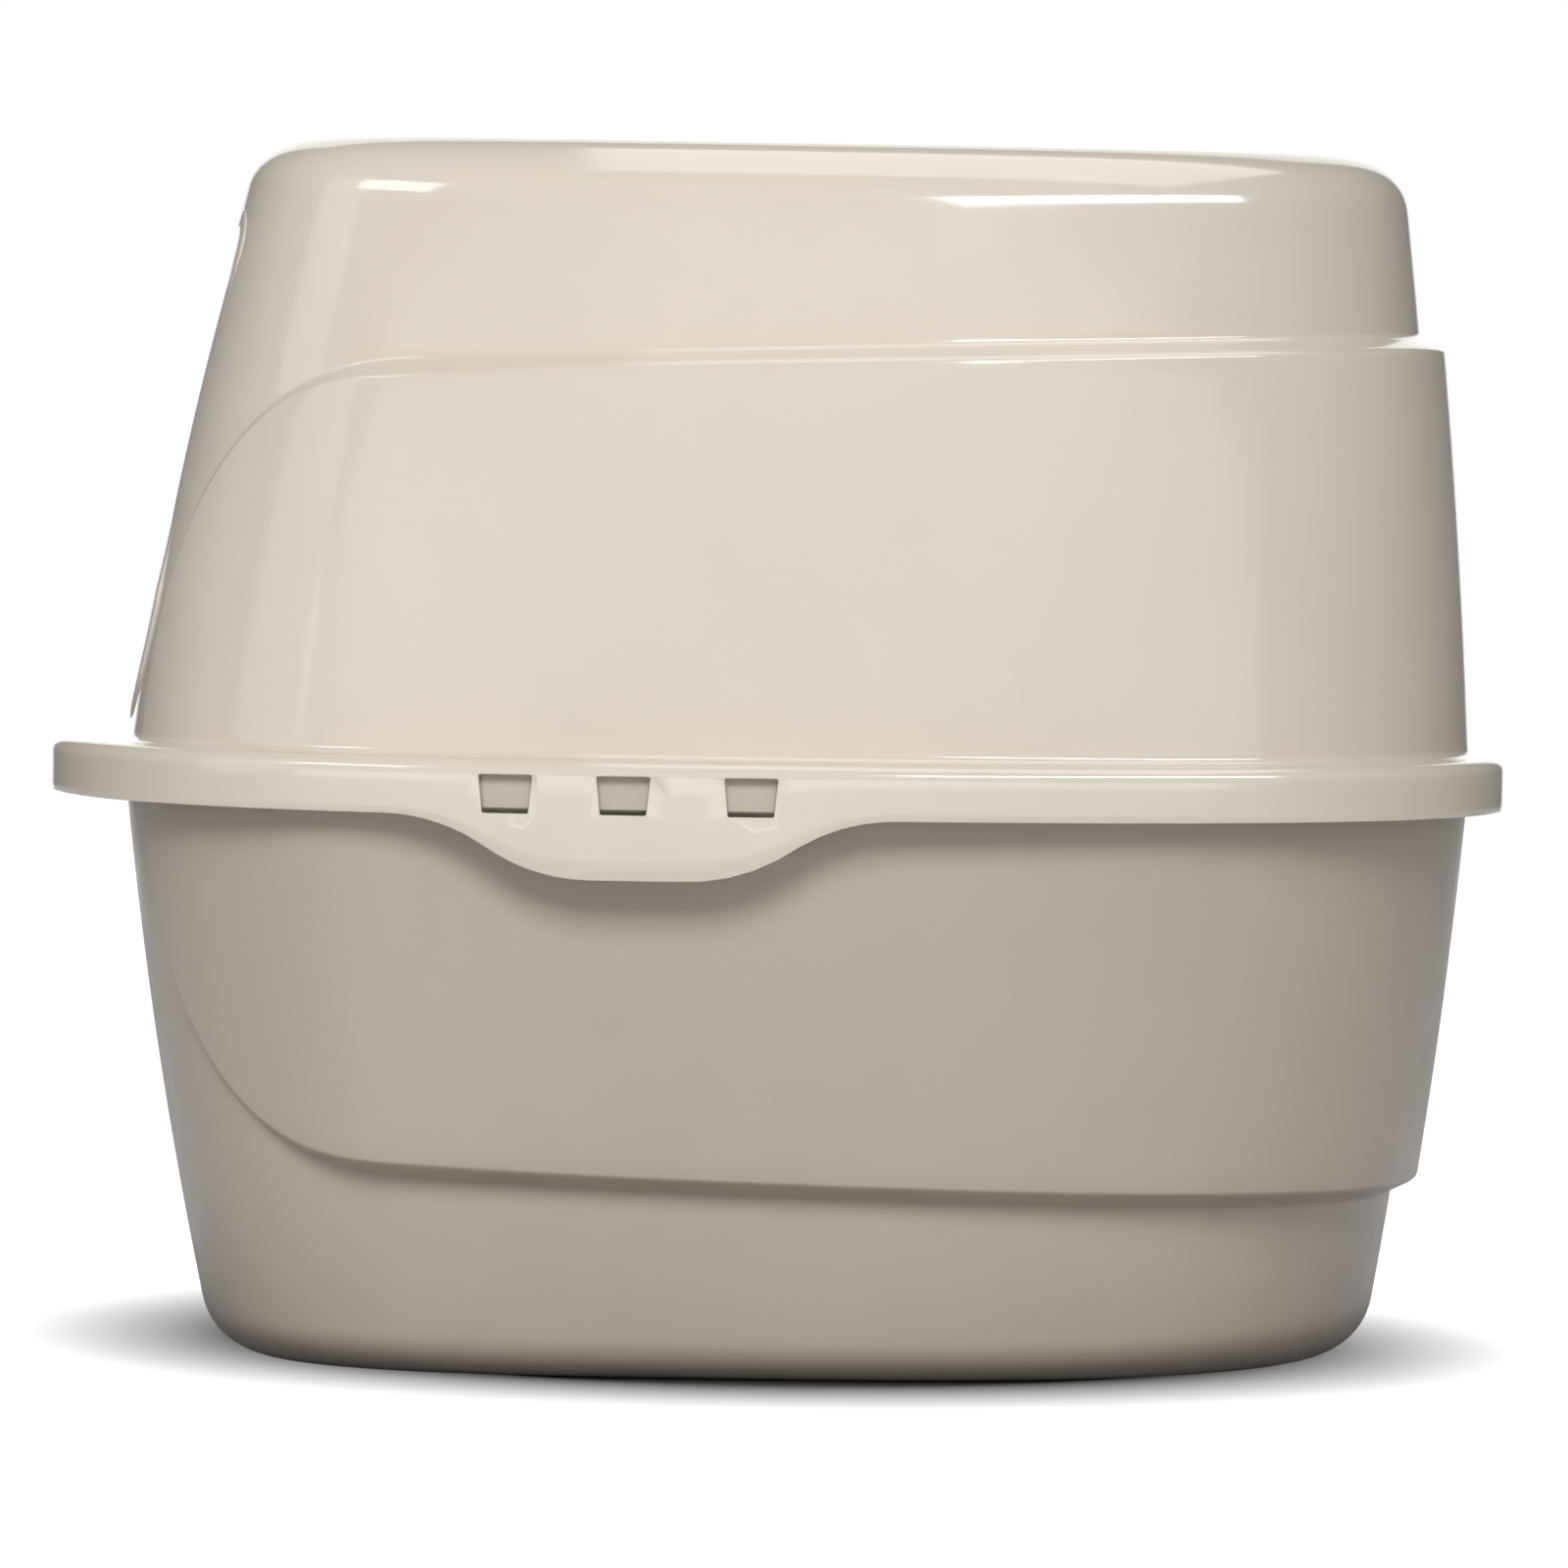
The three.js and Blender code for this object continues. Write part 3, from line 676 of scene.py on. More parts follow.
# %% Recesses, slots and holes
TRAY_FLOOR = 423.5
HANDLE_TRAY = (-56.0, 86.0, -35.0, 35.0, 5.0)
VENT_TRAY = (100.0, 184.0, -50.0, 50.0, 2.0)
NOTCH = (91.0, 104.0, 15.0, 430.4)
TRAY_SLOTS = (5, 112.0, 168.0, 15.0, 7.0)
PIN_HOLE = 2.3
HANDLE_AXIS = (-24.0, 432.1)
FLAP_AXIS = (-186.0, 396.5)
VENT_AXIS = (179.5, 434.5)
ROOF_TOP = ROOF_Z + CROWN


def tray_outline(tray, grow):
    x0, x1, y0, y1, corner = tray
    return rounded_outline(x0 - grow, x1 + grow, y0 - grow, y1 + grow, corner + grow)


def tray_hollow(tray):
    rings = [level(tray_outline(tray, grow), TRAY_FLOOR + z)
             for grow, z in ((-1.5, 0), (-0.6, 0.25), (-0.1, 0.8), (0, 1.5))]
    rings += [level(tray_outline(tray, grow), ROOF_TOP + z)
              for grow, z in ((0, -1.3), (0.1, -0.8), (0.5, -0.25), (1.3, 0.02), (1.3, 5))]
    return loft("hollow", rings)


def slot_cutters(row, z0, z1):
    count, x0, x1, pitch, width = row
    made = []
    for i in range(count):
        y = (i - (count - 1) / 2) * pitch
        outline = rounded_outline(x0, x1, y - width / 2, y + width / 2, width / 2 - 0.05)
        made.append(loft("slot", [level(outline, z0), level(outline, z1)]))
    return made


def finish_hood(shell):
    windows = [window_cutter(x, side) for x in WINDOW_XS for side in (1, -1)]
    cut(shell, door_cut(), *windows)
    x0, x1, half, floor = NOTCH
    top = ROOF_Z - 1.2
    blocks = [loft("block", [level(tray_outline(tray, WALL), z) for z in (TRAY_FLOOR - WALL, top)])
              for tray in (HANDLE_TRAY, VENT_TRAY)]
    fuse(shell, door_frame(), *blocks)
    outline = rounded_outline(x0 - WALL, x1, -half - WALL, half + WALL, 3)
    fuse(shell, loft("block", [level(outline, floor - WALL), level(outline, top)]))
    cut(shell, tray_hollow(HANDLE_TRAY), tray_hollow(VENT_TRAY))
    outline = rounded_outline(x0, x1, -half, half, 3)
    rings = [level(grown(outline, g), z) for g, z in (
        (-1.5, floor), (-0.4, floor + 0.4), (0, floor + 1.5), (0, ROOF_TOP - 1.2),
        (0.4, ROOF_TOP - 0.3), (1.2, ROOF_TOP + 0.02), (1.2, ROOF_TOP + 5))]
    cut(shell, loft("notch", rings))
    ends = (-DOOR_HALF - 8, DOOR_HALF + 8)
    holes = [turned("hole", "y", FLAP_AXIS, [(y, PIN_HOLE) for y in ends]),
             turned("hole", "x", HANDLE_AXIS, [(x, PIN_HOLE) for x in (-64, 94)]),
             turned("hole", "y", VENT_AXIS, [(y, 1.9) for y in (-54, 54)])]
    cut(shell, *holes, *slot_cutters(TRAY_SLOTS, TRAY_FLOOR - 9, TRAY_FLOOR + 1))
    return shell


finish_hood(hood)
print("hood faces:", len(hood.data.polygons))

# %% [markdown]
# ## The pan
#
# The pan follows its own wall functions. Its rim turns out over a flange and down into a
# skirt, which the hood's lip covers. Blocks on the skirt stand behind the lip's windows.

# %% Pan shell
FLOOR_ROUND_END, FLOOR_ROUND_SIDE = 24.0, 16.0
FLANGE_UNDER, FLANGE_TOP = 214.9, 217.3
SKIRT_OUT, SKIRT_IN, SKIRT_BOTTOM = -3.4, -5.8, 202.5


def pan_shell():
    radius = FLOOR_ROUND_END + (FLOOR_ROUND_SIDE - FLOOR_ROUND_END) * np.abs(ACROSS) ** 2
    outer, tangent = rounded_rows(pan_wall, radius, 0, -1, 0, 14)
    inner, inner_tangent = rounded_rows(pan_wall, radius - WALL, WALL, -1, -WALL, 6)
    out = panel_height(ALONG, PAN_STATION)
    rows = flat_rows(outer[-1], (8, 0, 0), 5)[::-1]
    rows += outer[1:][::-1]
    rows += wall_rows(pan_wall, pan_edge, tangent, FLANGE_UNDER - 1.5, 1, PAN_STATION, 0, True)
    rows += [ring(pan_wall, FLANGE_UNDER, out), rim_ring(SKIRT_IN, FLANGE_UNDER)]
    rows += [rim_ring(grow, SKIRT_BOTTOM + z) for grow, z in (
        (SKIRT_IN, 0.6), (SKIRT_IN + 0.6, 0), (SKIRT_OUT - 0.6, 0), (SKIRT_OUT, 0.6))]
    rows += [rim_ring(SKIRT_OUT - 1.4 * (1 - math.cos(a)), FLANGE_TOP - 1.4 * (1 - math.sin(a)))
             for a in np.linspace(0, math.pi / 2, 5)]
    rows += [ring(pan_wall, FLANGE_TOP, out - WALL + 1.6)]
    rows += [ring(pan_wall, FLANGE_TOP - 0.5, out - WALL + 0.5)]
    rows += wall_rows(
        pan_wall, pan_edge, inner_tangent, FLANGE_TOP - 2, 1, PAN_STATION, -WALL, False)[::-1]
    rows += inner[1:]
    rows += flat_rows(inner[-1], (8, 0, WALL), 5)
    return skin("pan_shell", rows)


def catch_block(x, side):
    half = WINDOW_TOP / 2 - 1
    outline = rounded_outline(x - half, x + half, WINDOW_Z + 1.4, WINDOW_Z + WINDOW_TALL - 2, 0.5)
    section = ((3.8, -0.4), (3.95, -0.1), (4.2, 0), (4.8, 0))
    return loft("catch", [on_lip(grown(outline, grow), depth, side) for depth, grow in section])


pan = pan_shell()
fuse(pan, *[catch_block(x, side) for x in WINDOW_XS for side in (1, -1)])
print("pan faces:", len(pan.data.polygons))

# %% [markdown]
# ## Flap, handle and pins
#
# The flap hangs from its barrel on two pins. It is a smoked sheet with a thicker foot and a
# fine bead round its edge. The handle is a bow with two arms, and lies flush in its recess.

# %% Flap and pins
FLAP_HALF, FLAP_LOW, FLAP_ROUND = 89.5, 238.0, 37.0


def make_flap():
    x, top = FLAP_AXIS
    outline = rounded_outline(-FLAP_HALF, FLAP_HALF, FLAP_LOW, top, FLAP_ROUND, 1, steps=16)
    sheet = plate("flap", outline, x - 1.2, x + 1.2, 0.9, turn="zxy")
    barrel = turned("barrel", "y", FLAP_AXIS, [
        (-FLAP_HALF, 3.4), (-FLAP_HALF + 0.6, 4), (FLAP_HALF - 0.6, 4), (FLAP_HALF, 3.4)])
    half = FLAP_HALF - FLAP_ROUND - 6
    foot = plate("foot", rounded_outline(-half, half, FLAP_LOW, FLAP_LOW + 6, 2.9),
                 x - 3.5, x + 3.5, 1.2, turn="zxy")
    fuse(sheet, barrel)
    fuse(sheet, foot)
    bores = [turned("bore", "y", FLAP_AXIS, [(s * 91, PIN_HOLE), (s * 81.5, PIN_HOLE)])
             for s in (1, -1)]
    return cut(sheet, *bores)


def flap_bead():
    """A fine moulded bead that runs round the face of the flap, just inside its edge."""
    outline = rounded_outline(-FLAP_HALF + 6, FLAP_HALF - 6, FLAP_LOW + 9, 388, FLAP_ROUND - 6,
                              3, steps=14)
    face = FLAP_AXIS[0] - 1.2
    section = ((-0.9, 0.25), (-0.6, -0.35), (0, -0.6), (0.6, -0.35), (0.9, 0.25))
    return hoop("flap_bead", [
        level(grown(outline, grow), face + depth)[:, [2, 0, 1]] for grow, depth in section])


def flap_pin(name, side):
    profile = [(82.5, 1.5), (83, 2), (94.7, 2), (94.7, 3.6), (95.0, 4), (96.3, 4), (96.7, 3.5)]
    return turned(name, "y", FLAP_AXIS, [(side * y, r) for y, r in profile])


def handle_pin(name, end, tip, face):
    profile = [(tip, 1.5), (tip + end * 0.5, 2), (face, 2), (face, 3.2), (face + end * 0.3, 3.5),
               (face + end * 1.7, 3.5), (face + end * 2, 3)]
    return turned(name, "x", HANDLE_AXIS, profile)


flap = make_flap()
bead = flap_bead()
pins = {"flap_pin_left": flap_pin("left_pin", 1), "flap_pin_right": flap_pin("right_pin", -1),
        "handle_pin_front": handle_pin("front_pin", -1, -45.0, -58.7),
        "handle_pin_back": handle_pin("back_pin", 1, 75.0, 88.7)}

# %% Carry handle
HX0, HX1, HY0, HY1, HBAR = -52.0, 82.0, -30.0, 28.0, 11.0
HZ0, HZ1 = 427.6, 436.6


def handle_outline():
    q = math.pi / 2
    inner, outer, end = 7.0, 16.0, 5.4
    return np.concatenate([
        arc(HX0 + HBAR - end, HY0 + end, end, -q, 0),
        arc(HX0 + HBAR + inner, HY1 - HBAR - inner, inner, 2 * q, q, 14),
        arc(HX1 - HBAR - inner, HY1 - HBAR - inner, inner, q, 0, 14),
        arc(HX1 - HBAR + end, HY0 + end, end, 2 * q, 3 * q),
        arc(HX1 - end, HY0 + end, end, -q, 0),
        arc(HX1 - outer, HY1 - outer, outer, 0, q, 14),
        arc(HX0 + outer, HY1 - outer, outer, q, 2 * q, 14),
        arc(HX0 + end, HY0 + end, end, 2 * q, 3 * q)])


handle = plate("handle", handle_outline(), HZ0, HZ1, 2.2, steps=6, bow=True)
cut(handle, *[turned("bore", "x", HANDLE_AXIS, [(a, PIN_HOLE), (b, PIN_HOLE)])
              for a, b in ((-53, -44), (74, 83))])
print("handle faces:", len(handle.data.polygons))

# %% [markdown]
# ## The filter vent
#
# Under the slotted cover a soft charcoal pad lies in a basket. The fine ribs that stand on the
# cover between its slots, and the grip ribs on the handle, are made with Geometry Nodes: one
# rounded bar is placed on every point of a line of points.

# %% Repeated ribs with Geometry Nodes
def rounded_bar(name, length, width, height):
    outline = rounded_outline(-length / 2, length / 2, -width / 2, width / 2, width / 2 - 0.01)
    rings = [level(grown(outline, g), z) for g, z in (
        (0, -0.4), (0, height * 0.4), (-width * 0.12, height * 0.85), (-width * 0.3, height))]
    return loft(name, rings)


def rib_tree():
    tree = bpy.data.node_groups.new("row_of_ribs", "GeometryNodeTree")
    face = tree.interface
    face.new_socket("Geometry", in_out="OUTPUT", socket_type="NodeSocketGeometry")
    face.new_socket("Rib", in_out="INPUT", socket_type="NodeSocketObject")
    face.new_socket("Count", in_out="INPUT", socket_type="NodeSocketInt")
    face.new_socket("Start", in_out="INPUT", socket_type="NodeSocketVector")
    face.new_socket("Step", in_out="INPUT", socket_type="NodeSocketVector")
    face.new_socket("Material", in_out="INPUT", socket_type="NodeSocketMaterial")
    face.new_socket("Seed", in_out="INPUT", socket_type="NodeSocketInt")
    nodes, links = tree.nodes, tree.links
    inputs = nodes.new("NodeGroupInput")
    outputs = nodes.new("NodeGroupOutput")
    line = nodes.new("GeometryNodeMeshLine")
    info = nodes.new("GeometryNodeObjectInfo")
    vary = nodes.new("FunctionNodeRandomValue")
    vary.data_type = "FLOAT_VECTOR"
    vary.inputs[0].default_value = (0.997, 0.98, 0.97)
    vary.inputs[1].default_value = (1.003, 1.02, 1.0)
    place = nodes.new("GeometryNodeInstanceOnPoints")
    real = nodes.new("GeometryNodeRealizeInstances")
    paint = nodes.new("GeometryNodeSetMaterial")
    links.new(inputs.outputs["Rib"], info.inputs["Object"])
    links.new(inputs.outputs["Count"], line.inputs["Count"])
    links.new(inputs.outputs["Start"], line.inputs["Start Location"])
    links.new(inputs.outputs["Step"], line.inputs["Offset"])
    links.new(inputs.outputs["Seed"], vary.inputs["Seed"])
    links.new(line.outputs["Mesh"], place.inputs["Points"])
    links.new(info.outputs["Geometry"], place.inputs["Instance"])
    links.new(vary.outputs[0], place.inputs["Scale"])
    links.new(place.outputs["Instances"], real.inputs["Geometry"])
    links.new(real.outputs["Geometry"], paint.inputs["Geometry"])
    links.new(inputs.outputs["Material"], paint.inputs["Material"])
    links.new(paint.outputs["Geometry"], outputs.inputs["Geometry"])
    return tree


def row_of_ribs(name, tree, rib, count, start, step, material, seed):
    """Evaluates the node group with these inputs into a plain mesh."""
    host = new_object(name, bpy.data.meshes.new(name))
    modifier = host.modifiers.new("ribs", "NODES")
    modifier.node_group = tree
    values = {"Rib": rib, "Count": count, "Start": Vector(start) * MM, "Step": Vector(step) * MM,
              "Material": material, "Seed": seed}
    for item in tree.interface.items_tree:
        if item.item_type == "SOCKET" and item.in_out == "INPUT":
            modifier[item.identifier] = values[item.name]
    bpy.context.view_layer.update()
    evaluated = host.evaluated_get(bpy.context.evaluated_depsgraph_get())
    mesh = bpy.data.meshes.new_from_object(evaluated)
    host.modifiers.clear()
    host.data = mesh
    bpy.data.objects.remove(rib)
    return host


# %% Cover, basket and pad
COVER = (100.8, 181.5, -49.2, 49.2, 435.2, 437.7)
BASKET = (105.0, 175.9, -45.0, 45.0, 424.2, 434.9)
BASKET_WALL, BASKET_FLOOR = 1.8, 1.9
PAD = (107.2, 173.8, 42.8, 426.4, 434.6)
COVER_SLOTS = (9, 112.0, 170.0, 9.0, 3.6)
BASKET_SLOTS = (5, 114.0, 167.0, 15.0, 9.0)


def make_cover():
    *sides, z0, z1 = COVER
    body = plate("cover", rounded_outline(*sides, 4), z0, z1, 0.7)
    cut(body, *slot_cutters(COVER_SLOTS, z0 - 1.2, z1 + 1.3))
    barrel = turned("barrel", "y", VENT_AXIS, [
        (-51.8, 1.3), (-51.5, 1.6), (-47, 1.6), (-47, 2.4), (-46.8, 2.6), (46.8, 2.6),
        (47, 2.4), (47, 1.6), (51.5, 1.6), (51.8, 1.3)])
    return fuse(body, barrel)


def make_basket():
    x0, x1, y0, y1, z0, z1 = BASKET
    wall, floor = BASKET_WALL, z0 + BASKET_FLOOR
    body = plate("basket", rounded_outline(x0, x1, y0, y1, 4), z0, z1, 0.6)
    hollow = rounded_outline(x0 + wall, x1 - wall, y0 + wall, y1 - wall, 3)
    cut(body, loft("hollow", [level(hollow, floor), level(hollow, z1 + 1.1)]))
    return cut(body, *slot_cutters(BASKET_SLOTS, z0 - 2.2, floor + 0.9))


def make_pad():
    """A foam pad whose faces swell a little and whose cut edges are uneven."""
    x0, x1, half, z0, z1 = PAD
    outline = rounded_outline(x0, x1, -half, half, 3, steps=6)
    dense = []
    for a, b in zip(outline, np.roll(outline, -1, 0)):
        pieces = max(1, int(np.linalg.norm(b - a) / 3))
        dense += [a + (b - a) * k / pieces for k in range(pieces)]
    dense = np.array(dense)
    middle = np.array([(x0 + x1) / 2, 0])
    wave = 0.25 * np.sin(dense[:, 0] * 0.9) * np.cos(dense[:, 1] * 0.7)
    rings = []
    for t in (0.05, 0.3, 0.6, 0.85):
        rings.append(level(middle + (dense - middle) * t, z0 + 0.3 * t))
    for share, inset in ((0, 1.0), (0.12, 0.4), (0.35, 0.25), (0.65, 0.25), (0.88, 0.4), (1, 1.0)):
        ring_points = level(grown(dense, -inset - 0.25), z0 + 0.3 + (z1 - z0 - 0.9) * share)
        ring_points[:, :2] += (wave * (1 - abs(2 * share - 1)))[:, None] * 0.5
        rings.append(ring_points)
    for t in (0.85, 0.6, 0.3, 0.05):
        rings.append(level(middle + (dense - middle) * t, z1 - 0.6 * t ** 2))
    return loft("pad", rings)


cover, basket, pad = make_cover(), make_basket(), make_pad()
print("cover faces:", len(cover.data.polygons))

# %% [markdown]
# ## Finishes
#
# Every piece but the pad is moulded plastic, so one recipe makes them all. The colour drifts a
# little over the piece, as moulded plastic does. The gloss is broken by a fine orange peel, by
# a finer grain and by hairline scratches, which run upwards because the hood is lifted and set
# down. Convex edges are painted slightly paler, as a painted highlight.

# %% Node helper
def linear(red, green, blue):
    """A screen colour, from 0 to 255, as the linear colour that a shader wants."""
    def one(v):
        v /= 255
        return v / 12.92 if v < 0.04045 else ((v + 0.055) / 1.055) ** 2.4
    return (one(red), one(green), one(blue), 1.0)


def shade(colour, factor):
    return tuple(c * factor for c in colour[:3]) + (1.0,)


class Recipe:
    """A material under construction, with short calls for the nodes that all finishes share."""

    def __init__(self, name):
        self.material = bpy.data.materials.new(name)
        self.material.use_nodes = True
        self.nodes = self.material.node_tree.nodes
        self.links = self.material.node_tree.links
        self.shader = self.nodes["Principled BSDF"]
        self.coords = self.nodes.new("ShaderNodeTexCoord").outputs["Object"]
        self.normal = None

    def put(self, socket, value):
        if isinstance(value, bpy.types.NodeSocket):
            self.links.new(value, socket)
        else:
            socket.default_value = value

    def noise(self, scale, detail=2.0, stretch=None, distortion=0.0):
        source = self.coords
        if stretch:
            mapping = self.nodes.new("ShaderNodeMapping")
            mapping.inputs["Scale"].default_value = stretch
            self.links.new(source, mapping.inputs["Vector"])
            source = mapping.outputs["Vector"]
        node = self.nodes.new("ShaderNodeTexNoise")
        node.inputs["Scale"].default_value = scale
        node.inputs["Detail"].default_value = detail
        node.inputs["Distortion"].default_value = distortion
        self.links.new(source, node.inputs["Vector"])
        return node.outputs["Fac"]

    def spread(self, value, low, high, to_low=0.0, to_high=1.0):
        node = self.nodes.new("ShaderNodeMapRange")
        node.inputs["From Min"].default_value = low
        node.inputs["From Max"].default_value = high
        node.inputs["To Min"].default_value = to_low
        node.inputs["To Max"].default_value = to_high
        self.links.new(value, node.inputs["Value"])
        return node.outputs["Result"]

    def math(self, operation, a, b):
        node = self.nodes.new("ShaderNodeMath")
        node.operation = operation
        self.put(node.inputs[0], a)
        self.put(node.inputs[1], b)
        return node.outputs["Value"]

    def mix(self, factor, a, b):
        node = self.nodes.new("ShaderNodeMix")
        node.data_type = "RGBA"
        self.put(node.inputs["Factor"], factor)
        self.put(node.inputs[6], a)
        self.put(node.inputs[7], b)
        return node.outputs[2]

    def bump(self, height, distance, strength=1.0):
        node = self.nodes.new("ShaderNodeBump")
        node.inputs["Strength"].default_value = strength
        node.inputs["Distance"].default_value = distance
        self.links.new(height, node.inputs["Height"])
        if self.normal:
            self.links.new(self.normal, node.inputs["Normal"])
        self.normal = node.outputs["Normal"]

    # Convex edges, found by pointiness: the mask of a painted highlight.
    def painted_edge_highlight(self, low, high):
        geometry = self.nodes.new("ShaderNodeNewGeometry")
        return self.spread(geometry.outputs["Pointiness"], low, high)

    def done(self):
        if self.normal:
            self.links.new(self.normal, self.shader.inputs["Normal"])
        return self.material


def plastic(name, colour, rough, drift=0.04, peel=0.00002, grain=0.000004, scratches=0.5,
            grain_scale=1500.0, specular=0.5):
    made = Recipe(name)
    slow = made.spread(made.noise(9.0, 3.0), 0.3, 0.7)
    tone = made.mix(slow, shade(colour, 1 - drift), shade(colour, 1 + drift))
    # Convex edges are painted paler here, a painted highlight along every edge.
    tone = made.mix(made.painted_edge_highlight(0.52, 0.6), tone, shade(colour, 1.12))
    hair = made.noise(1.0, 1.0, stretch=(1500.0, 1500.0, 34.0), distortion=0.4)
    where = made.spread(made.noise(22.0, 2.0), 0.5, 0.68)
    hair = made.math("MULTIPLY", made.spread(hair, 0.66, 0.72), where)
    tone = made.mix(made.math("MULTIPLY", hair, 0.10 * scratches), tone, shade(colour, 1.25))
    made.put(made.shader.inputs["Base Color"], tone)
    cloudy = made.spread(made.noise(45.0, 4.0), 0.3, 0.7, rough * 0.88, rough * 1.14)
    made.put(made.shader.inputs["Roughness"],
             made.math("ADD", cloudy, made.math("MULTIPLY", hair, 0.22 * scratches)))
    made.shader.inputs["Specular IOR Level"].default_value = specular
    made.bump(made.noise(150.0, 1.5), peel)
    made.bump(made.noise(grain_scale, 2.0), grain)
    made.bump(hair, 0.000004 * scratches)
    return made


CREAM = linear(199, 191, 179)
TAUPE = linear(166, 158, 147)
hood_plastic = plastic("glossy_cream_plastic", CREAM, 0.11, drift=0.025, peel=0.00001)
pan_plastic = plastic("satin_taupe_plastic", TAUPE, 0.36, drift=0.03, peel=0.00002,
                      grain=0.00001, scratches=0.7, grain_scale=1100.0)
fitting_plastic = plastic("satin_taupe_fittings", TAUPE, 0.4, peel=0.00002, grain=0.00001)
pin_nylon = plastic("ivory_nylon", linear(226, 221, 208), 0.34, peel=0.00001, scratches=0.2)

smoked = plastic("smoked_clear_plastic", linear(150, 144, 134), 0.12, drift=0.02, peel=0.00001)
smoked.shader.inputs["Transmission Weight"].default_value = 0.72
smoked.shader.inputs["IOR"].default_value = 1.49

# %% Foam of the pad
foam = Recipe("charcoal_foam")
cells = foam.nodes.new("ShaderNodeTexVoronoi")
cells.inputs["Scale"].default_value = 620.0
foam.links.new(foam.coords, cells.inputs["Vector"])
holes = foam.spread(cells.outputs["Distance"], 0.1, 0.6)
# The foam is painted darker where its surface sinks between the cells: painted shade in those hollows.
foam.put(foam.shader.inputs["Base Color"],
         foam.mix(holes, linear(62, 62, 62), linear(24, 24, 25)))
foam.put(foam.shader.inputs["Roughness"], foam.spread(foam.noise(80.0), 0.3, 0.7, 0.85, 1.0))
foam.shader.inputs["Specular IOR Level"].default_value = 0.2
foam.bump(foam.noise(90.0, 3.0), 0.0006)
foam.bump(holes, -0.0006)

MATERIALS = {
    "hood_plastic": hood_plastic.done(), "pan_plastic": pan_plastic.done(),
    "fitting_plastic": fitting_plastic.done(), "pin_nylon": pin_nylon.done(),
    "flap_plastic": smoked.done(), "carbon_foam": foam.done()}
print(len(MATERIALS), "finishes")

# %% [markdown]
# ## Ribs, and every piece on its body
#
# The ribs take their finish inside the node group. Then each piece is named, painted, shaded
# smooth except at its hard edges and put on the body it rides on, and the solids it stands for
# are hidden.

# %% Ribs
tree = rib_tree()
fitting = MATERIALS["fitting_plastic"]
cover_ribs = row_of_ribs(
    "filter_cover_ribs", tree, rounded_bar("rib", 56, 1.6, 0.5), 8,
    (141, -31.5, 437.65), (0, 9, 0), fitting, 3)
handle_ribs = row_of_ribs(
    "handle_grip_ribs", tree, rounded_bar("rib", 1.8, 8, 0.45), 13,
    (-27, HY1 - HBAR / 2, HZ1 - 0.05), (7, 0, 0), fitting, 5)
print("ribs:", len(cover_ribs.data.polygons) + len(handle_ribs.data.polygons), "faces")


# %% Names, finishes and bodies
def settle(piece, name, body, slot, nodes=(), sharp=35.0):
    piece.name = name
    piece.data.name = name
    piece.data.materials.clear()
    piece.data.materials.append(MATERIALS[slot])
    work = bmesh.new()
    work.from_mesh(piece.data)
    bmesh.ops.remove_doubles(work, verts=work.verts, dist=0.000002)
    work.to_mesh(piece.data)
    work.free()
    piece.data.polygons.foreach_set("use_smooth", [True] * len(piece.data.polygons))
    piece.data.set_sharp_from_angle(angle=math.radians(sharp))
    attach(piece, body)
    if nodes:
        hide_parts(*nodes)
    return piece


settle(pan, "pan_shell", "pan", "pan_plastic", ["litter_pan"])
settle(hood, "hood_shell", "hood", "hood_plastic", ["hood"])
settle(flap, "flap_sheet", "flap", "flap_plastic", ["entrance_flap"])
settle(bead, "flap_edge_bead", "flap", "flap_plastic")
for node, piece in pins.items():
    settle(piece, f"{node}_turned", "hood", "pin_nylon", [node])
settle(handle, "handle_bow", "handle", "fitting_plastic", ["carry_handle"])
settle(handle_ribs, "handle_grip_ribs", "handle", "fitting_plastic")
settle(cover, "filter_lid", "filter_vent", "fitting_plastic", ["filter_cover"])
settle(cover_ribs, "filter_lid_ribs", "filter_vent", "fitting_plastic")
settle(basket, "filter_basket_shell", "filter_vent", "fitting_plastic", ["filter_basket"])
settle(pad, "carbon_pad", "filter_vent", "carbon_foam", ["carbon_filter"])
triangles = {o.name: sum(len(p.vertices) - 2 for p in o.data.polygons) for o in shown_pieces()}
print("triangles:", triangles, "in all", sum(triangles.values()))

# %% [markdown]
# ## Floor and light
#
# The floor is a white sheet with a painted glow, seen by the camera only, that rises just beyond
# the pan. The glow makes it vanish into the white behind it and cuts its shadow short, so only the
# shadow where the pan meets it stays. One large soft key lights the long side from above the
# camera, and a soft light overhead lights the floor. What a glossy wall mirrors is chosen apart
# from what lights it, as with cards in a studio: a broad pale card in front, a low one for the
# lip, a tall one at the left, a bank over the roof and two small lamps that draw the bright
# marks on its rounding.

# %% Floor
FLOOR_SIZE = 9.0


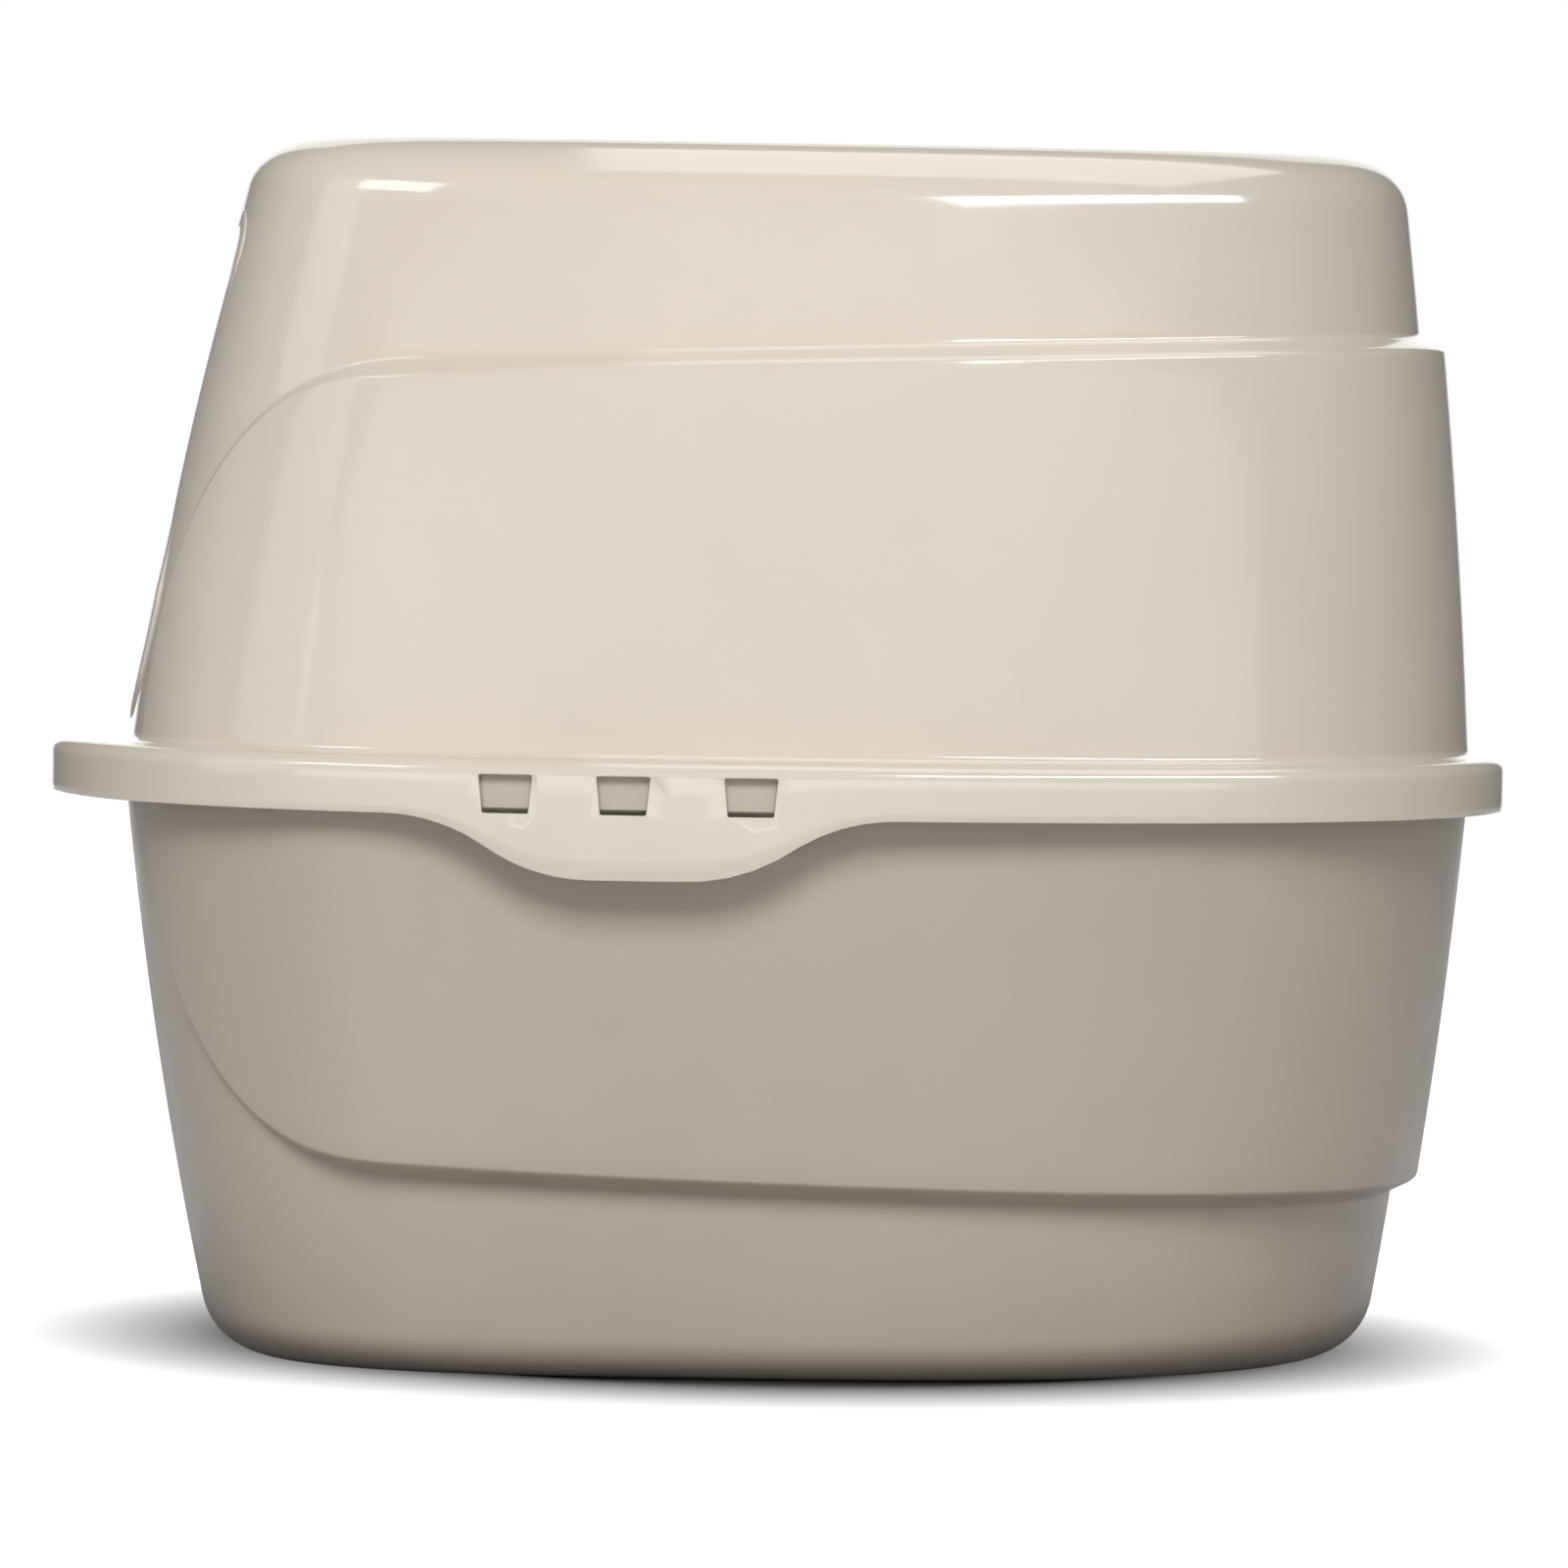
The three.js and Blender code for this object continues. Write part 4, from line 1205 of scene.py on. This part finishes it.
def make_floor():
    half = FLOOR_SIZE / 2
    mesh = bpy.data.meshes.new("floor")
    corners = [(-half, -half, 0), (half, -half, 0), (half, half, 0), (-half, half, 0)]
    mesh.from_pydata(corners, [], [(0, 1, 2, 3)])
    floor = new_object("floor", mesh)
    floor.location.z = -0.0004
    sheet = Recipe("white_sheet")
    # Only the camera sees the sheet as white as this. The box is lit by a plainer grey one.
    # Its own shadow is kept narrow, by a glow that begins close round the pan.
    plan = sheet.nodes.new("ShaderNodeVectorMath")
    plan.operation = "MULTIPLY"
    plan.inputs[1].default_value = (0.95, 1, 0)
    sheet.links.new(sheet.coords, plan.inputs[0])
    distance = sheet.nodes.new("ShaderNodeVectorMath")
    distance.operation = "LENGTH"
    sheet.links.new(plan.outputs["Vector"], distance.inputs[0])
    seen = sheet.nodes.new("ShaderNodeLightPath").outputs["Is Camera Ray"]
    # The painted glow: none close round the pan, full a little farther out.
    painted_glow_reach = sheet.spread(distance.outputs["Value"], 0.175, 0.27)
    paper = sheet.nodes.new("ShaderNodeBsdfDiffuse")
    sheet.put(paper.inputs["Color"], sheet.mix(seen, (0.6, 0.6, 0.6, 1), (0.2, 0.2, 0.2, 1)))
    painted_glow = sheet.nodes.new("ShaderNodeEmission")
    sheet.put(painted_glow.inputs["Strength"], sheet.math("MULTIPLY", painted_glow_reach, seen))
    both = sheet.nodes.new("ShaderNodeAddShader")
    sheet.links.new(paper.outputs[0], both.inputs[0])
    sheet.links.new(painted_glow.outputs[0], both.inputs[1])
    output = sheet.nodes["Material Output"]
    sheet.links.new(both.outputs[0], output.inputs["Surface"])
    mesh.materials.append(sheet.done())
    floor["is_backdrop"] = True
    return floor


floor = make_floor()
print("floor", FLOOR_SIZE, "m wide")


# %% Lights
def softbox(name, place, target, size, radiance, diffuse=True, glossy=True):
    """A soft rectangular light of an even brightness, which the camera itself doesn't see."""
    data = bpy.data.lights.new(name, "AREA")
    data.shape = "RECTANGLE"
    data.size, data.size_y = size
    data.energy = 4 * size[0] * size[1] * radiance
    light = bpy.data.objects.new(name, data)
    light.location = place
    aim = Vector(target) - Vector(place)
    light.rotation_mode = "QUATERNION"
    light.rotation_quaternion = aim.to_track_quat("-Z", "Y")
    light.visible_camera = False
    light.visible_diffuse = diffuse
    light.visible_glossy = glossy
    bpy.context.scene.collection.objects.link(light)
    return light


def around(azimuth, elevation, distance, centre=(0.0, -0.12, 0.41)):
    """A place seen from the hood's rounding at this azimuth, from the camera's side."""
    a, e = math.radians(azimuth), math.radians(elevation)
    flat = distance * math.cos(e)
    return (centre[0] + flat * math.sin(a), centre[1] - flat * math.cos(a),
            centre[2] + distance * math.sin(e))


HOOD_SIDE = (0.0, -0.15, 0.3)
key = softbox("front_key", around(-5, 38, 3.0), HOOD_SIDE, (2.0, 1.2), 10.0, glossy=False)
overhead = softbox("overhead_soft", (0, 0, 2.2), (0, 0, 0), (1.2, 1.2), 8.0, glossy=False)
softbox("low_front", (0, -1.7, 0.17), (0, -0.15, 0.1), (2.4, 0.26), 0.8, glossy=False)
softbox("right_fill", around(60, 10, 2.3), HOOD_SIDE, (1.0, 1.4), 1.2, glossy=False)
softbox("back_fill", (0, 3.0, 1.2), (0, 0, 0.3), (0.9, 0.9), 11.0, glossy=False)
softbox("back_wall", (0, 1.9, 0.7), (0, 0, 0.4), (1.7, 2.4), 1.1, diffuse=False)
softbox("front_card", around(0, 0, 2.2), HOOD_SIDE, (9.0, 2.0), 0.8, diffuse=False)
softbox("left_card", around(-72, 16, 2.0), HOOD_SIDE, (0.75, 1.7), 1.0)
softbox("roof_bank", (0.44, 0.0, 1.64), (0.44, 0.0, 0.4), (1.12, 1.2), 2.3, diffuse=False)
softbox("streak_lamp", around(42, 34.5, 1.5, (0.1, -0.15, 0.415)), (0.1, -0.15, 0.415),
        (1.45, 0.26), 15.0, diffuse=False)
softbox("lip_card", around(0, -3, 2.2), HOOD_SIDE, (6.0, 0.3), 2.0, diffuse=False)
softbox("blob_lamp", around(-48, 38, 1.5, (-0.13, -0.145, 0.418)), (-0.13, -0.145, 0.418),
        (0.72, 0.36), 6.5, diffuse=False)


def only_lights(light, pieces):
    """The light reaches these pieces and nothing else, as a flagged lamp in a studio does."""
    group = bpy.data.collections.new(light.name + "_reaches")
    for piece in pieces:
        group.objects.link(piece)
    light.light_linking.receiver_collection = group


only_lights(key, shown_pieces())
only_lights(overhead, [floor])


def make_world():
    world = bpy.data.worlds.new("white_studio")
    world.use_nodes = True
    nodes, links = world.node_tree.nodes, world.node_tree.links
    nodes.clear()
    path = nodes.new("ShaderNodeLightPath")
    seen = nodes.new("ShaderNodeBackground")
    seen.inputs["Color"].default_value = (1, 1, 1, 1)
    lit = nodes.new("ShaderNodeBackground")
    lit.inputs["Color"].default_value = (1.0, 0.98, 0.95, 1)
    lit.inputs["Strength"].default_value = 0.13
    mix = nodes.new("ShaderNodeMixShader")
    out = nodes.new("ShaderNodeOutputWorld")
    links.new(path.outputs["Is Camera Ray"], mix.inputs["Fac"])
    links.new(lit.outputs[0], mix.inputs[1])
    links.new(seen.outputs[0], mix.inputs[2])
    links.new(mix.outputs[0], out.inputs["Surface"])
    bpy.context.scene.world = world


make_world()
bpy.context.scene.view_settings.view_transform = "Standard"
